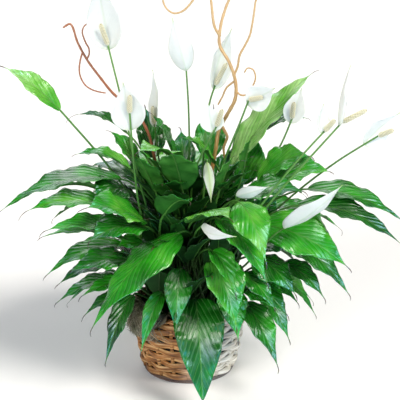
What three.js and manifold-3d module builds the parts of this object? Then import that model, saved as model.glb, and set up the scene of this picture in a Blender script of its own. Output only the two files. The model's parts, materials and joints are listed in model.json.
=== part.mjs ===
// Potted peace lily: a flowering plant in its nursery pot, in a woven basket with curly willow and moss.
// Millimetres, +Z up. The origin is the centre of the basket's underside, and the front is -Y.

import * as THREE from 'three';
import { mergeGeometries, mergeVertices } from 'three/addons/utils/BufferGeometryUtils.js';
import Module from 'manifold-3d';

const wasm = await Module();
wasm.setup();

// Driving dimensions
const clearance = 0.3;

const basketHeight = 135;
const basketRimRadius = 104;
const basketFootRadius = 85;
const basketWall = 8;
const basketFloor = 5;
const footBandHeight = 7;
const footBandInset = 3;
const borderHeight = 10;
const borderSwell = 2;
const weaveRows = 9;
const weaveStakes = 20;
const weaveDepth = 2.6;
const basketFlare = 0.9;

const linerThickness = 0.8;
const linerTop = 122;

const potHeight = 112;
const potRimRadius = 92.6;
const potFootRadius = 70;
const potWall = 2;
const potLipHeight = 9;
const potLipStep = 2;
const potSegments = 24;

const soilTop = 108;
const soilDome = 3;
const soilSegments = 24;

const crownRadius = 6.8;
const crownTopRadius = 2.4;
const crownFootRadius = 5.8;
const crownDepth = 26;
const crownRise = 5;
const rootSink = 0.3;
const tinyVolume = 0.001;
const bendRounds = 120;
const petioleHalfWidth = 2.3;
const rootStretch = 0.3;
const stalkSpread = 7;
const stalkLean = 0.1;
const stalkRise = 0.45;
const stalkArrival = 0.3;
const bladeHalfThickness = 0.45;
const tipHalfWidth = 0.8;
const foldLoss = 0.6;
const midribDepth = 1.3;
const leafWaves = 3.3;
const leafWaveHeight = 0.07;
const leafTurn = 0.37;

const stemRadius = 2.1;
const stemFootRadius = 2.52;
const stemRise = 45;
const seatStep = 0.1;
const spatheHalfThickness = 0.45;
const spatheBase = 3.4;
const spatheBelly = 0.45;
const spatheCup = 32;
const spatheTipCup = 8;
const spadixRadius = 4.6;
const floretRelief = 0.09;

const willowSides = 5;
const willowDepth = 30;
const willowStraight = 12;
const willowShown = 440;

const mossStart = 198;
const mossEnd = 252;
const mossSections = 9;
const mossHalfThickness = 4;
const mossBack = 1.5;
const mossRelief = 1.6;
const mossThinEnd = 0.35;
const mossHang = 26;

// The crowns of the shoots stand in three rings: outer, middle and inner.
// A leaf is [junction with its stalk, tip, blade's width, arch, roll, fold], with the arch as a share of
// the blade's length.
const shoots = [
  { azimuth: -90, radius: 62, leaves: [
    [[13, -107, 180], [26, -205, 28], 90, 0.32, 0, 16],
    [[-14, -98, 235], [-23, -160, 136], 50, 0.3, -12, 16],
  ] },
  { azimuth: -50, radius: 62, leaves: [
    [[68, -85, 190], [90, -138, 112], 58, 0.3, 0, 14],
    [[98, -74, 158], [160, -158, 70], 60, 0.3, 0, 12],
    [[95, -80, 205], [175, -140, 165], 78, 0.25, 12, 10],
  ] },
  { azimuth: -10, radius: 62, leaves: [
    [[128, -36, 166], [184, -92, 90], 48, 0.3, 8, 12],
    [[135, -30, 190], [200, -58, 150], 38, 0.25, 10, 12],
    [[150, -15, 200], [235, -36, 115], 38, 0.3, 15, 14],
    [[124, 18, 190], [235, 40, 110], 60, 0.3, 0, 14],
  ] },
  { azimuth: 30, radius: 62, leaves: [
    [[108, 62, 215], [215, 120, 150], 68, 0.3, 0, 14],
  ] },
  { azimuth: 70, radius: 62, leaves: [
    [[80, 96, 195], [160, 185, 95], 66, 0.3, 0, 12],
    [[38, 118, 220], [75, 230, 150], 70, 0.3, 0, -10],
  ] },
  { azimuth: 110, radius: 62, leaves: [
    [[-5, 125, 190], [-10, 235, 90], 66, 0.3, 0, 12],
    [[-50, 115, 215], [-100, 225, 150], 72, 0.3, 0, -10],
  ] },
  { azimuth: 150, radius: 62, leaves: [
    [[-88, 88, 195], [-170, 170, 100], 66, 0.3, 0, 12],
    [[-115, 50, 215], [-225, 95, 150], 68, 0.3, 0, 12],
  ] },
  { azimuth: 190, radius: 62, leaves: [
    [[-124, 15, 170], [-230, 30, 110], 60, 0.3, 0, 12],
    [[-120, -38, 188], [-240, -76, 158], 48, 0.25, -6, 12],
    [[-112, -30, 152], [-190, -62, 128], 36, 0.3, -10, 12],
    [[-118, -22, 215], [-235, -85, 198], 52, 0.25, -8, 12],
  ] },
  { azimuth: 230, radius: 62, leaves: [
    [[-100, -70, 172], [-150, -125, 60], 60, 0.3, 0, 12],
    [[-45, -88, 185], [-85, -140, 90], 46, 0.3, -20, 30],
    [[-100, -75, 195], [-190, -112, 188], 46, 0.25, -10, 12],
    [[-100, -65, 235], [-205, -130, 245], 70, 0.2, -15, 10],
  ] },
  { azimuth: -67, radius: 38, leaves: [
    [[45, -115, 255], [85, -190, 160], 76, 0.3, 0, 22],
    [[42, -135, 285], [82, -195, 230], 46, 0.3, 0, 24],
    [[96, -100, 226], [152, -156, 184], 48, 0.25, 10, 12],
    [[62, -72, 214], [100, -112, 210], 50, 0.25, 20, 12],
  ] },
  { azimuth: -22, radius: 38, leaves: [
    [[118, -78, 250], [190, -134, 200], 72, 0.25, 12, -12],
    [[170, -50, 225], [245, -95, 175], 48, 0.3, 10, 12],
    [[165, -35, 265], [290, -90, 180], 66, 0.3, 15, 10],
    [[130, -75, 310], [280, -140, 255], 92, 0.2, 30, 8],
    [[112, -38, 258], [192, -66, 258], 60, 0.2, 25, 12],
  ] },
  { azimuth: 23, radius: 38, leaves: [
    [[140, 48, 290], [290, 95, 235], 76, 0.3, 0, 14],
    [[205, 22, 305], [275, 32, 208], 42, 0.4, 10, 14],
    [[160, 3, 284], [255, -8, 238], 38, 0.3, 10, 14],
    [[105, 42, 225], [165, 62, 320], 80, 0.1, 50, 10],
  ] },
  { azimuth: 68, radius: 38, leaves: [
    [[115, 95, 310], [230, 195, 265], 80, 0.3, 0, -10],
    [[70, 130, 290], [140, 270, 225], 78, 0.3, 0, 14],
    [[62, 88, 225], [95, 135, 330], 84, 0.1, 0, 10],
  ] },
  { azimuth: 113, radius: 38, leaves: [
    [[15, 150, 310], [30, 310, 265], 80, 0.3, 0, -10],
    [[-42, 142, 290], [-85, 290, 225], 76, 0.3, 0, 14],
    [[-12, 82, 225], [-16, 125, 335], 84, 0.1, 0, 10],
  ] },
  { azimuth: 158, radius: 38, leaves: [
    [[-92, 118, 310], [-190, 240, 265], 80, 0.3, 0, -10],
    [[-130, 75, 290], [-265, 150, 235], 76, 0.3, 0, 14],
    [[-80, 62, 225], [-120, 98, 325], 84, 0.1, 0, 10],
  ] },
  { azimuth: 203, radius: 38, leaves: [
    [[-120, -18, 250], [-255, -72, 212], 54, 0.25, -10, 12],
    [[-145, -40, 335], [-285, -80, 338], 66, 0.2, -8, 14],
    [[-112, -58, 275], [-255, -112, 302], 50, 0.2, 0, 14],
    [[-150, 25, 335], [-250, 20, 345], 54, 0.25, 25, 12],
    [[-66, -42, 255], [-128, -76, 268], 58, 0.25, -20, 12],
  ] },
  { azimuth: 248, radius: 38, leaves: [
    [[-14, -119, 313], [-165, -229, 177], 98, 0.25, 0, -16],
    [[-100, -88, 300], [-245, -150, 328], 62, 0.2, -8, 14],
    [[-76, -108, 320], [-165, -212, 332], 80, 0.2, -12, 8],
  ] },
  { azimuth: -90, radius: 15, leaves: [
    [[-42, -128, 349], [4, -190, 396], 64, 0.3, -20, 14],
    [[8, -110, 330], [72, -210, 372], 80, 0.3, 0, -10],
    [[-78, -92, 325], [-172, -172, 378], 92, 0.2, -20, 8],
    [[-10, -75, 376], [-27, -143, 466], 70, 0.2, 0, 12],
  ] },
  { azimuth: -18, radius: 15, leaves: [
    [[88, -125, 372], [132, -230, 302], 70, 0.3, 10, -14],
    [[55, -112, 335], [135, -228, 262], 66, 0.25, 0, 18],
    [[95, -74, 362], [200, -108, 385], 74, 0.2, 15, 12],
    [[150, -26, 371], [250, -58, 404], 76, 0.25, 18, 12],
    [[195, -56, 340], [380, -104, 281], 66, 0.25, 8, 14],
    [[215, -14, 356], [388, -50, 306], 64, 0.2, 8, 14],
    [[56, -50, 368], [78, -62, 432], 44, 0.2, 0, 14],
  ] },
  { azimuth: 54, radius: 15, leaves: [
    [[125, -6, 367], [215, -33, 425], 84, 0.3, 22, 12],
    [[80, 42, 380], [230, 110, 540], 90, 0.15, 0, 14],
    [[142, 62, 445], [218, 62, 466], 42, 0.25, 0, 14],
    [[98, 2, 385], [112, -4, 450], 42, 0.2, 0, 14],
    [[60, 88, 330], [130, 190, 345], 76, 0.3, 0, 14],
    [[48, 0, 400], [-10, -8, 452], 60, 0.25, 0, 14],
    [[38, 48, 392], [46, 72, 480], 60, 0.15, 0, 14],
    [[100, 55, 340], [120, 95, 430], 76, 0.15, 0, 12],
  ] },
  { azimuth: 126, radius: 15, leaves: [
    [[-65, 62, 390], [-80, 92, 478], 58, 0.15, 0, 14],
    [[-25, 32, 402], [-66, 36, 482], 52, 0.2, 0, 14],
    [[-52, 95, 335], [-110, 205, 350], 76, 0.3, 0, 14],
    [[8, 110, 335], [20, 225, 350], 78, 0.3, 0, -10],
    [[-8, 42, 365], [-14, 72, 440], 46, 0.2, 0, 14],
    [[-95, 80, 335], [-190, 145, 345], 74, 0.3, 0, 14],
  ] },
  { azimuth: 198, radius: 15, leaves: [
    [[-120, -15, 375], [-335, -60, 330], 76, 0.25, -4, 12],
    [[-105, 10, 385], [-205, 4, 415], 56, 0.3, 0, 16],
    [[-116, -24, 360], [-162, -78, 350], 74, 0.3, -20, 8],
    [[-230, 20, 494], [-325, 0, 579], 46, 0.15, -40, 14],
    [[-112, 50, 442], [-206, 58, 474], 54, 0.3, 0, 14],
    [[-95, 62, 372], [-145, 90, 432], 46, 0.25, 0, 14],
    [[-20, -30, 415], [-85, -100, 455], 80, 0.25, 0, 10],
    [[-58, -55, 366], [-88, -90, 442], 56, 0.2, 0, 12],
  ] },
];

// A bloom is [number of its shoot, points its stem passes, top of the stem, tip of the spadix or nothing,
//   how far below the top the spathe joins, tip of the spathe, its width, the way it faces, its bow].
const blooms = [
  [22, [[-60, -30, 270], [-97, -20, 417], [-108, -10, 475]], [-141, 10, 616], [-152, 2, 655], 8,
    [-158, 2, 732], 62, -90, 0.16],
  [17, [[-83, -70, 328], [-95, -74, 432]], [-101, -62, 513], [-100, -64, 545], 30,
    [-112, -56, 566], 60, -84, 0.12],
  [21, [[-46, 44, 330]], [-63, 66, 454], [-65, 64, 488], 6, [-66, 76, 554], 36, -150, 0.12],
  [21, [[-2, 34, 250], [2, 40, 434]], [-4, 40, 570], null, 8, [-28, 30, 660], 44, 90, 0.1],
  [20, [[22, 18, 300], [34, 26, 486]], [48, 26, 539], [68, 24, 579], 8, [78, 30, 641], 50, -50, 0.16],
  [18, [[22, -48, 300]], [34, -66, 430], null, 6, [40, -112, 366], 26, 100, 0.2],
  [18, [[8, -36, 383], [30, -38, 442]], [50, -34, 480], [60, -38, 512], 12, [36, -28, 520], 44, -70, 0.14],
  [20, [[66, -28, 420], [84, -35, 468]], [106, -40, 530], [130, -50, 538], 8,
    [150, -56, 556], 48, -120, 0.24],
  [12, [[95, 12, 300], [160, 26, 410]], [187, 32, 474], [190, 28, 506], 8, [204, 38, 530], 40, -100, 0.14],
  [11, [[144, -136, 378], [203, -105, 437]], [270, -42, 490], [312, -40, 512], 8,
    [284, -34, 592], 48, -16, 0.12],
  [11, [[120, -134, 360], [189, -114, 444]], [238, -62, 480], [255, -67, 502], 8,
    [236, -60, 528], 44, -40, 0.24],
  [19, [[150, 8, 296], [238, 4, 380]], [340, 0, 452], [366, -4, 464], 30, [378, 4, 494], 44, -70, 0.14],
  [10, [[56, -76, 290], [82, -102, 356]], [84, -112, 381], null, 2, [140, -134, 404], 28, 80, 0.16],
  [10, [[98, -106, 246], [138, -130, 302]], [172, -112, 322], null, 6, [262, -160, 416], 52, 120, 0.14],
  [18, [[10, -112, 300]], [26, -163, 344], null, 6, [82, -232, 350], 34, 60, 0.34],
];

// Each curly willow branch is [name, colour, its limbs], and a limb is
// [thickness at its start, thickness at its end, points it passes].
const willows = [
  ['willow_left', 0x9a5a3c, [
    [6.4, 2.4, [
      [-24, 24, soilTop - willowDepth], [-24, 24, 104], [-25, 25, 140], [-32, 34, 230], [-54, 38, 350],
      [-73, 35, 447], [-88, 34, 476], [-112, 32, 500], [-137, 30, 525], [-163, 30, 560], [-188, 25, 600],
      [-200, 22, 632], [-207, 20, 652], [-214, 20, 663], [-221, 20, 659], [-220, 20, 645],
    ]],
    [2.6, 1.6, [
      [-188, 25, 600], [-193, 20, 575], [-192, 20, 557], [-182, 20, 539], [-166, 20, 530], [-147, 20, 526],
    ]],
    [2.6, 1.6, [
      [-180, 27, 586], [-175, 30, 600], [-184, 34, 620], [-187, 35, 639], [-177, 35, 650],
    ]],
  ]],
  ['willow_centre', 0xc08a4a, [
    [8, 3, [
      [0, 0, soilTop - willowDepth], [0, 0, 104], [1, 1, 140], [12, 9, 220], [30, 16, 320], [47, 20, 406],
      [58, 20, 466], [76, 15, 498], [87, 10, 534], [81, 10, 560], [72, 10, 586], [55, 15, 617],
      [51, 15, 631], [57, 15, 648], [61, 20, 669], [72, 20, 694], [80, 22, 722], [76, 20, 748],
    ]],
    [4, 2, [
      [51, 15, 631], [44, 10, 661], [40, 10, 696], [34, 12, 720], [23, 14, 722], [12, 15, 700],
      [-5, 15, 679], [-20, 16, 671], [-36, 20, 677], [-44, 20, 696], [-42, 20, 716],
    ]],
    [3.4, 2, [
      [81, 10, 560], [87, 8, 576], [92, 5, 603], [106, 5, 628], [113, 0, 662], [118, 0, 699],
      [127, 0, 730], [122, 2, 754],
    ]],
    [3, 1.8, [
      [84, 10, 552], [68, 15, 537], [62, 18, 522], [53, 20, 504],
    ]],
    [2.6, 1.6, [
      [87, 10, 534], [97, 6, 524], [109, 5, 535], [119, 5, 556], [116, 5, 571], [107, 5, 577], [99, 5, 567],
    ]],
    [5, 2.4, [
      [58, 20, 466], [70, 17, 446], [64, 21, 424], [66, 24, 400],
    ]],
  ]],
];

const up = new THREE.Vector3(0, 0, 1);
const radians = THREE.MathUtils.degToRad;
const mix = THREE.MathUtils.lerp;

function vector(list) {
  return new THREE.Vector3(...list);
}

function polar(azimuth, radius, height) {
  const angle = radians(azimuth);
  return new THREE.Vector3(radius * Math.cos(angle), radius * Math.sin(angle), height);
}

// Seeded draws between -1 and 1, the same on every run.
function draws(seed) {
  let state = seed;
  return () => {
    state = (state * 1103515245 + 12345) % 2147483648;
    return state / 1073741824 - 1;
  };
}

function indexedGeometry(points, faces) {
  const geometry = new THREE.BufferGeometry();
  const positions = points.flatMap((point) => [point.x, point.y, point.z]);
  geometry.setAttribute('position', new THREE.Float32BufferAttribute(positions, 3));
  geometry.setIndex(faces.flat());
  return geometry;
}

// A closed skin over a row of rings, each clockwise along the way they follow, and all with the same number
// of points except where four points (left, top, right, bottom) go over into the six of a blade.
// slant says for each side of the ring which way its quads are split.
function loft(rings, { slant = [], openStart = false, bentSection = false } = {}) {
  const starts = [];
  const points = [];
  const faces = [];
  for (const ring of rings) {
    starts.push(points.length);
    points.push(...ring);
  }
  for (let i = 0; i < rings.length - 1; i += 1) {
    const sides = rings[i].length;
    const [from, to] = [starts[i], starts[i + 1]];
    if (rings[i + 1].length > sides) {
      const [left, top, right, bottom] = [from, from + 1, from + 2, from + 3];
      faces.push([left, top, to + 1], [left, to + 1, to], [top, right, to + 2], [top, to + 2, to + 1]);
      faces.push([right, to + 3, to + 2], [right, bottom, to + 4], [right, to + 4, to + 3]);
      faces.push([bottom, left, to + 5], [bottom, to + 5, to + 4], [left, to, to + 5]);
    } else {
      for (let k = 0; k < sides; k += 1) {
        const next = (k + 1) % sides;
        const [a, b, c, d] = [from + k, from + next, to + next, to + k];
        const other = slant[k] === 'b' && sides === slant.length;
        faces.push(...(other ? [[a, b, d], [b, c, d]] : [[a, b, c], [a, c, d]]));
      }
    }
  }
  const last = starts.at(-1);
  if (bentSection) {
    const end = rings[0].length - 1;
    for (let k = 0; k < (end - 1) / 2; k += 1) {
      const [across, beside] = [end - k, end - k - 1];
      faces.push([k, beside, k + 1], [k, across, beside]);
      faces.push([last + k, last + k + 1, last + beside], [last + k, last + beside, last + across]);
    }
  } else {
    for (let k = 1; k < rings[0].length - 1 && !openStart; k += 1) {
      faces.push([0, k + 1, k]);
    }
    for (let k = 1; k < rings.at(-1).length - 1; k += 1) {
      faces.push([last, last + k, last + k + 1]);
    }
  }
  return indexedGeometry(points, faces);
}

function toSolid(geometry) {
  const bare = geometry.clone();
  bare.deleteAttribute('normal');
  bare.deleteAttribute('uv');
  const merged = mergeVertices(bare, 1e-4);
  return new wasm.Manifold(new wasm.Mesh({
    numProp: 3,
    vertProperties: new Float32Array(merged.attributes.position.array),
    triVerts: new Uint32Array(merged.index.array),
  }));
}

function toGeometry(solid) {
  const mesh = solid.getMesh();
  const geometry = new THREE.BufferGeometry();
  geometry.setAttribute('position', new THREE.Float32BufferAttribute(mesh.vertProperties, 3));
  geometry.setIndex(Array.from(mesh.triVerts));
  return geometry;
}

function fused(geometries) {
  return geometries.map(toSolid).reduce((whole, piece) => whole.add(piece));
}

// The section of a blade: a rib between two edges, each with an upper and a lower point.
const bladeSlant = ['b', 'a', 'a', 'b', 'a', 'a'];

function pointOn({ centre, side, normal }, across, above) {
  return centre.clone().addScaledVector(side, across).addScaledVector(normal, above);
}

function bladeRing(frame, halfWidth, lift, halfThickness, ribBottom) {
  return [
    pointOn(frame, halfWidth, lift[0] + halfThickness),
    pointOn(frame, 0, halfThickness),
    pointOn(frame, -halfWidth, lift[1] + halfThickness),
    pointOn(frame, -halfWidth, lift[1] - halfThickness),
    pointOn(frame, 0, -ribBottom),
    pointOn(frame, halfWidth, lift[0] - halfThickness),
  ];
}

function stalkRing(frame, radius) {
  const corners = [[radius, 0], [0, radius], [-radius, 0], [0, -radius]];
  return corners.map(([side, above]) => pointOn(frame, side, above));
}

// Where a curve is at t, with a side and a normal square to it. across gives the side, and roll turns both.
function frameOn(curve, t, across, roll) {
  const along = curve.getTangent(t);
  const side = across.clone().addScaledVector(along, -across.dot(along)).normalize();
  side.applyAxisAngle(along, radians(roll));
  return { centre: curve.getPoint(t), side, normal: along.clone().cross(side) };
}

const longPetiole = [0.34, 0.66, 0.93];
const shortPetiole = [0.45, 0.92];
const longPetioleReach = 190;
const longBlade = [0.07, 0.24, 0.42, 0.6, 0.8, 1];
const shortBlade = [0.08, 0.3, 0.52, 0.76, 1];
const longBladeLength = 125;

// The blade is widest at two fifths of its length, round at its base and drawn out to its tip.
function leafHalfWidth(t, width) {
  return 0.5 * width * Math.sin(Math.PI * t ** 0.756) ** (0.7 + 0.9 * t);
}

function bladeCurve(junction, tip, arch) {
  const crest = junction.clone().lerp(tip, 0.5).addScaledVector(up, arch * junction.distanceTo(tip));
  return new THREE.QuadraticBezierCurve3(junction, crest, tip);
}

// A crown is a prism in the soil with a sloping face for each of its stalks. slots are the ways they face.
function crownCorner(centre, slots, k, radius, height) {
  const angle = slots[0] + ((2 * k - 1) * Math.PI) / slots.length;
  return new THREE.Vector3(radius * Math.cos(angle), radius * Math.sin(angle), height).add(centre);
}

// The face of slot k as the first ring of its stalk: left, top, right and bottom.
function crownFace(centre, slots, k) {
  return [
    crownCorner(centre, slots, k + 1, crownRadius, soilTop),
    crownCorner(centre, slots, k + 1, crownTopRadius, soilTop + crownRise),
    crownCorner(centre, slots, k, crownTopRadius, soilTop + crownRise),
    crownCorner(centre, slots, k, crownRadius, soilTop),
  ];
}

// The skin of a crown without the faces that stalks grow from.
function crownSkin(centre, slots, grown) {
  const levels = [
    [crownFootRadius, soilTop - crownDepth + clearance],
    [crownRadius, soilTop],
    [crownTopRadius, soilTop + crownRise],
  ];
  const count = slots.length;
  const points = levels.flatMap(([radius, height]) => (
    slots.map((slot, k) => crownCorner(centre, slots, k, radius, height))));
  const faces = [];
  for (let k = 0; k < count; k += 1) {
    const next = (k + 1) % count;
    faces.push([k, next, count + next], [k, count + next, count + k]);
    if (!grown.includes(k)) {
      faces.push([count + k, count + next, 2 * count + next], [count + k, 2 * count + next, 2 * count + k]);
    }
  }
  for (let k = 1; k < count - 1; k += 1) {
    faces.push([0, k + 1, k], [2 * count, 2 * count + k, 2 * count + k + 1]);
  }
  return indexedGeometry(points, faces);
}

// Shares the faces of a crown among its stalks in the order of the ways they go, so that none cross.
function crownSlots(centre, goals) {
  const turn = 2 * Math.PI;
  const ways = goals.map((goal, k) => ({ k, angle: Math.atan2(goal[1] - centre.y, goal[0] - centre.x) }));
  ways.sort((one, other) => one.angle - other.angle);
  const gaps = ways.map(({ angle }, i) => (i ? angle - ways[i - 1].angle : angle + turn - ways.at(-1).angle));
  const first = gaps.indexOf(Math.max(...gaps));
  const passed = ways.slice(0, first).map(({ k, angle }) => ({ k, angle: angle + turn }));
  const order = [...ways.slice(first), ...passed];
  const count = Math.max(goals.length, 4);
  const shift = order.reduce((sum, { angle }, i) => sum + angle - (turn * i) / count, 0) / order.length;
  const slots = Array.from({ length: count }, (unused, i) => shift + (turn * i) / count);
  return [slots, goals.map((goal, k) => order.findIndex((way) => way.k === k))];
}

// A leaf stalk leaves its crown upright and meets the blade along its rib.
function petioleCurve(centre, face, junction, blade) {
  const root = start(face);
  const outward = root.clone().sub(centre).setZ(0).normalize();
  const reach = root.distanceTo(junction);
  const rise = root.clone().lerp(junction, stalkLean).addScaledVector(outward, stalkSpread);
  rise.setZ(mix(root.z, junction.z, stalkRise));
  const arrival = junction.clone().addScaledVector(blade.getTangent(0), -stalkArrival * reach);
  return new THREE.CubicBezierCurve3(root, rise, arrival, junction);
}

// A stalk is a row of points with a ring at each. Its first point is the middle of its crown's face.
function petiole(centre, face, row) {
  const [junction, tip] = [vector(row[0]), vector(row[1])];
  const [, arch, roll] = row.slice(2);
  const curve = petioleCurve(centre, face, junction, bladeCurve(junction, tip, arch));
  const across = up.clone().cross(tip.clone().sub(junction).setZ(0)).normalize();
  const stations = start(face).distanceTo(junction) > longPetioleReach ? longPetiole : shortPetiole;
  const frames = stations.map((t) => frameOn(curve, t, across, roll * t));
  const points = [start(face), ...frames.map((frame) => frame.centre), junction];
  const free = points.map((point, k) => k > 0 && k < points.length - 1);
  return { points, frames, radii: points.map(() => petioleHalfWidth), free };
}

function leafRings(face, stalk, row, phase) {
  const [junction, tip] = [vector(row[0]), vector(row[1])];
  const [width, arch, roll, fold] = row.slice(2);
  const blade = bladeCurve(junction, tip, arch);
  const across = up.clone().cross(tip.clone().sub(junction).setZ(0)).normalize();
  const rings = stalkRings(face, stalk);
  for (const t of blade.getLength() > longBladeLength ? longBlade : shortBlade) {
    const reach = Math.max(leafHalfWidth(t, width), tipHalfWidth);
    const rise = reach * Math.tan(radians(fold)) * (1 - foldLoss * t);
    const swell = leafWaveHeight * width * Math.sin(Math.PI * t);
    const wave = leafWaves * t + phase;
    const lift = [wave, wave + 0.5].map((turns) => rise + swell * Math.sin(2 * Math.PI * turns));
    const rib = mix(midribDepth, bladeHalfThickness, t);
    rings.push(bladeRing(frameOn(blade, t, across, roll), reach, lift, bladeHalfThickness, rib));
  }
  return rings;
}

function start(face) {
  return face.reduce((sum, corner) => sum.add(corner), new THREE.Vector3()).divideScalar(face.length);
}

function stalkRings(face, { frames, points, radii }) {
  return [face, ...frames.map((frame, k) => stalkRing({ ...frame, centre: points[k + 1] }, radii[k + 1]))];
}

// A six-sided hole that opens upward, as wide as given between its flats.
function hexagonHole(centre, inRadius, bottom) {
  const radius = inRadius / Math.cos(Math.PI / 6);
  return toSolid(loft([bottom, soilTop + soilDome].map((z) => {
    const ring = [];
    for (let k = 0; k < 6; k += 1) {
      ring.push(polar(60 * k, radius, z).add(centre));
    }
    return ring;
  })));
}

// The way a spathe faces, square to the way it grows.
function facing(azimuth, along) {
  const look = polar(azimuth, 1, 0);
  return look.addScaledVector(along, -look.dot(along)).normalize();
}

function flowerStem(centre, face, [, passes, top, , , , , facingWay]) {
  const root = start(face);
  const low = root.clone().addScaledVector(root.clone().sub(centre).setZ(0).normalize(), stalkSpread);
  low.setZ(root.z + stemRise);
  const course = [root, low, ...passes.map(vector), vector(top)];
  const curve = new THREE.CatmullRomCurve3(course, false, 'centripetal');
  const steps = 2 + 2 * passes.length;
  const frames = [];
  for (let i = 1; i <= steps; i += 1) {
    const along = curve.getTangent(i / steps);
    frames.push(frameOn(curve, i / steps, facing(facingWay, along).cross(along), 0));
  }
  const points = [root, ...frames.map((frame) => frame.centre)];
  const radii = points.map((point, k) => mix(stemFootRadius, stemRadius, k / steps));
  return { points, frames, radii, free: points.map((point, k) => k > 0 && k < steps - 1) };
}

// Bends the stalks clear of one another: where two run too close, their free points there move apart.
function bendClear(stalks) {
  const gap = 2 * clearance;
  for (let round = 0; round < bendRounds; round += 1) {
    for (let i = 0; i < stalks.length; i += 1) {
      for (let j = i + 1; j < stalks.length; j += 1) {
        pushApart(stalks[i], stalks[j], gap);
      }
    }
  }
}

function pushApart(one, other, gap) {
  for (let a = 0; a < one.points.length - 1; a += 1) {
    for (let b = 0; b < other.points.length - 1; b += 1) {
      const rooted = a === 0 && b === 0 && one.shoot === other.shoot;
      const [p, q] = [one.points[a], one.points[a + 1]];
      const [r, s] = [other.points[b], other.points[b + 1]];
      const [t, u] = nearest(p, q, r, s);
      const apart = p.clone().lerp(q, t).sub(r.clone().lerp(s, u));
      const reach = mix(one.radii[a], one.radii[a + 1], t) + mix(other.radii[b], other.radii[b + 1], u) + gap;
      const lack = reach - apart.length();
      if (lack > 0 && !(rooted && Math.min(t, u) < rootStretch)) {
        apart.normalize().multiplyScalar(0.5 * lack);
        move(one, a, 1 - t, apart);
        move(one, a + 1, t, apart);
        move(other, b, 1 - u, apart.negate());
        move(other, b + 1, u, apart);
      }
    }
  }
}

function move({ points, free }, k, share, step) {
  if (free[k]) {
    points[k].addScaledVector(step, share);
  }
}

// How far along two straight stretches they come nearest, from 0 to 1 on each.
function nearest(p, q, r, s) {
  const [d1, d2, w] = [q.clone().sub(p), s.clone().sub(r), p.clone().sub(r)];
  const [a, b, c, d, e] = [d1.dot(d1), d1.dot(d2), d2.dot(d2), d1.dot(w), d2.dot(w)];
  const determinant = a * c - b * b;
  const clamp = (value) => THREE.MathUtils.clamp(value, 0, 1);
  let t = determinant > 1e-9 ? clamp((b * e - c * d) / determinant) : 0;
  const u = clamp((b * t + e) / c);
  t = clamp((b * u - d) / a);
  return [t, u];
}

const spatheStations = [0, 0.14, 0.34, 0.56, 0.8, 1];

// The spathe is widest below its middle and drawn out to its tip.
function spatheHalfWidth(t, width) {
  return 0.5 * width * Math.sin(Math.PI * t ** 0.72) ** (0.6 + 0.8 * t);
}

// Sets a piece of a bloom against its stem: it moves off in small steps until the two are clear.
function seated(stem, shape) {
  for (let off = 0; ; off += seatStep) {
    const geometry = shape(off);
    if (toSolid(geometry).minGap(stem, 2 * clearance) >= clearance) {
      return geometry;
    }
  }
}

// A spathe is an egg-shaped bract, cupped behind the spadix and drawn out to its tip.
function spathe({ points }, bloom, off) {
  const [, , , , drop, tipAt, width, faces, bow] = bloom;
  const along = points.at(-1).clone().sub(points.at(-2)).normalize();
  const look = facing(faces, along);
  const base = points.at(-1).clone().addScaledVector(along, -drop);
  base.addScaledVector(look, -(spatheHalfThickness + off));
  const tip = vector(tipAt);
  const length = base.distanceTo(tip);
  const back = facing(faces, tip.clone().sub(base).normalize()).negate();
  const belly = base.clone().lerp(tip, spatheBelly).addScaledVector(back, bow * length);
  const rib = new THREE.QuadraticBezierCurve3(base, belly, tip);
  const rings = spatheStations.map((t) => {
    const reach = Math.max(spatheHalfWidth(t, width), t < 0.5 ? spatheBase : tipHalfWidth);
    const way = rib.getTangent(t);
    const lift = reach * Math.tan(radians(mix(spatheCup, spatheTipCup, t)));
    const across = facing(faces, way).cross(way);
    const frame = frameOn(rib, t, across, 0);
    return bladeRing(frame, reach, [lift, lift], spatheHalfThickness, 2 * spatheHalfThickness);
  });
  return loft(rings, { slant: bladeSlant });
}

// A spadix is a slim finger covered in florets, which stand out as knobs in a spiral.
const spadixProfile = [
  [0, 0.34], [0.1, 0.42], [0.17, 0.88], [0.36, 1], [0.56, 1], [0.76, 0.92], [0.92, 0.66], [1, 0.25],
];

function spadix(top, tip, off) {
  const way = tip.clone().sub(top).normalize();
  const start = top.clone().addScaledVector(way, clearance + off);
  const line = new THREE.LineCurve3(start, tip);
  const across = facing(-90, way).cross(way);
  return loft(spadixProfile.map(([t, share], level) => {
    const frame = frameOn(line, t, across, 0);
    const ring = [];
    for (let k = 0; k < 6; k += 1) {
      const angle = radians(60 * k + 30 * level);
      const radius = spadixRadius * share * (1 + floretRelief * (-1) ** k);
      ring.push(pointOn(frame, radius * Math.cos(angle), radius * Math.sin(angle)));
    }
    return ring;
  }));
}

// A limb keeps its shape above the leaves and may be bent clear among them.
function limb([startThickness, endThickness, passes], number) {
  const curve = new THREE.CatmullRomCurve3(passes.map(vector), false, 'centripetal');
  const steps = passes.length + 2;
  const { normals, binormals } = curve.computeFrenetFrames(steps, false);
  const points = curve.getSpacedPoints(steps);
  const frames = normals.map((side, i) => ({ side, normal: binormals[i] }));
  const radii = points.map((point, i) => 0.5 * mix(startThickness, endThickness, i / steps));
  const free = points.map(({ z }) => number === 0 && z > soilTop + willowStraight && z < willowShown);
  return { points, frames, radii, free };
}

function limbSkin({ points, frames, radii }) {
  return loft(points.map((centre, i) => {
    const ring = [];
    for (let k = 0; k < willowSides; k += 1) {
      const angle = (2 * Math.PI * k) / willowSides;
      ring.push(pointOn({ ...frames[i], centre }, radii[i] * Math.cos(angle), radii[i] * Math.sin(angle)));
    }
    return ring;
  }));
}

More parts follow.
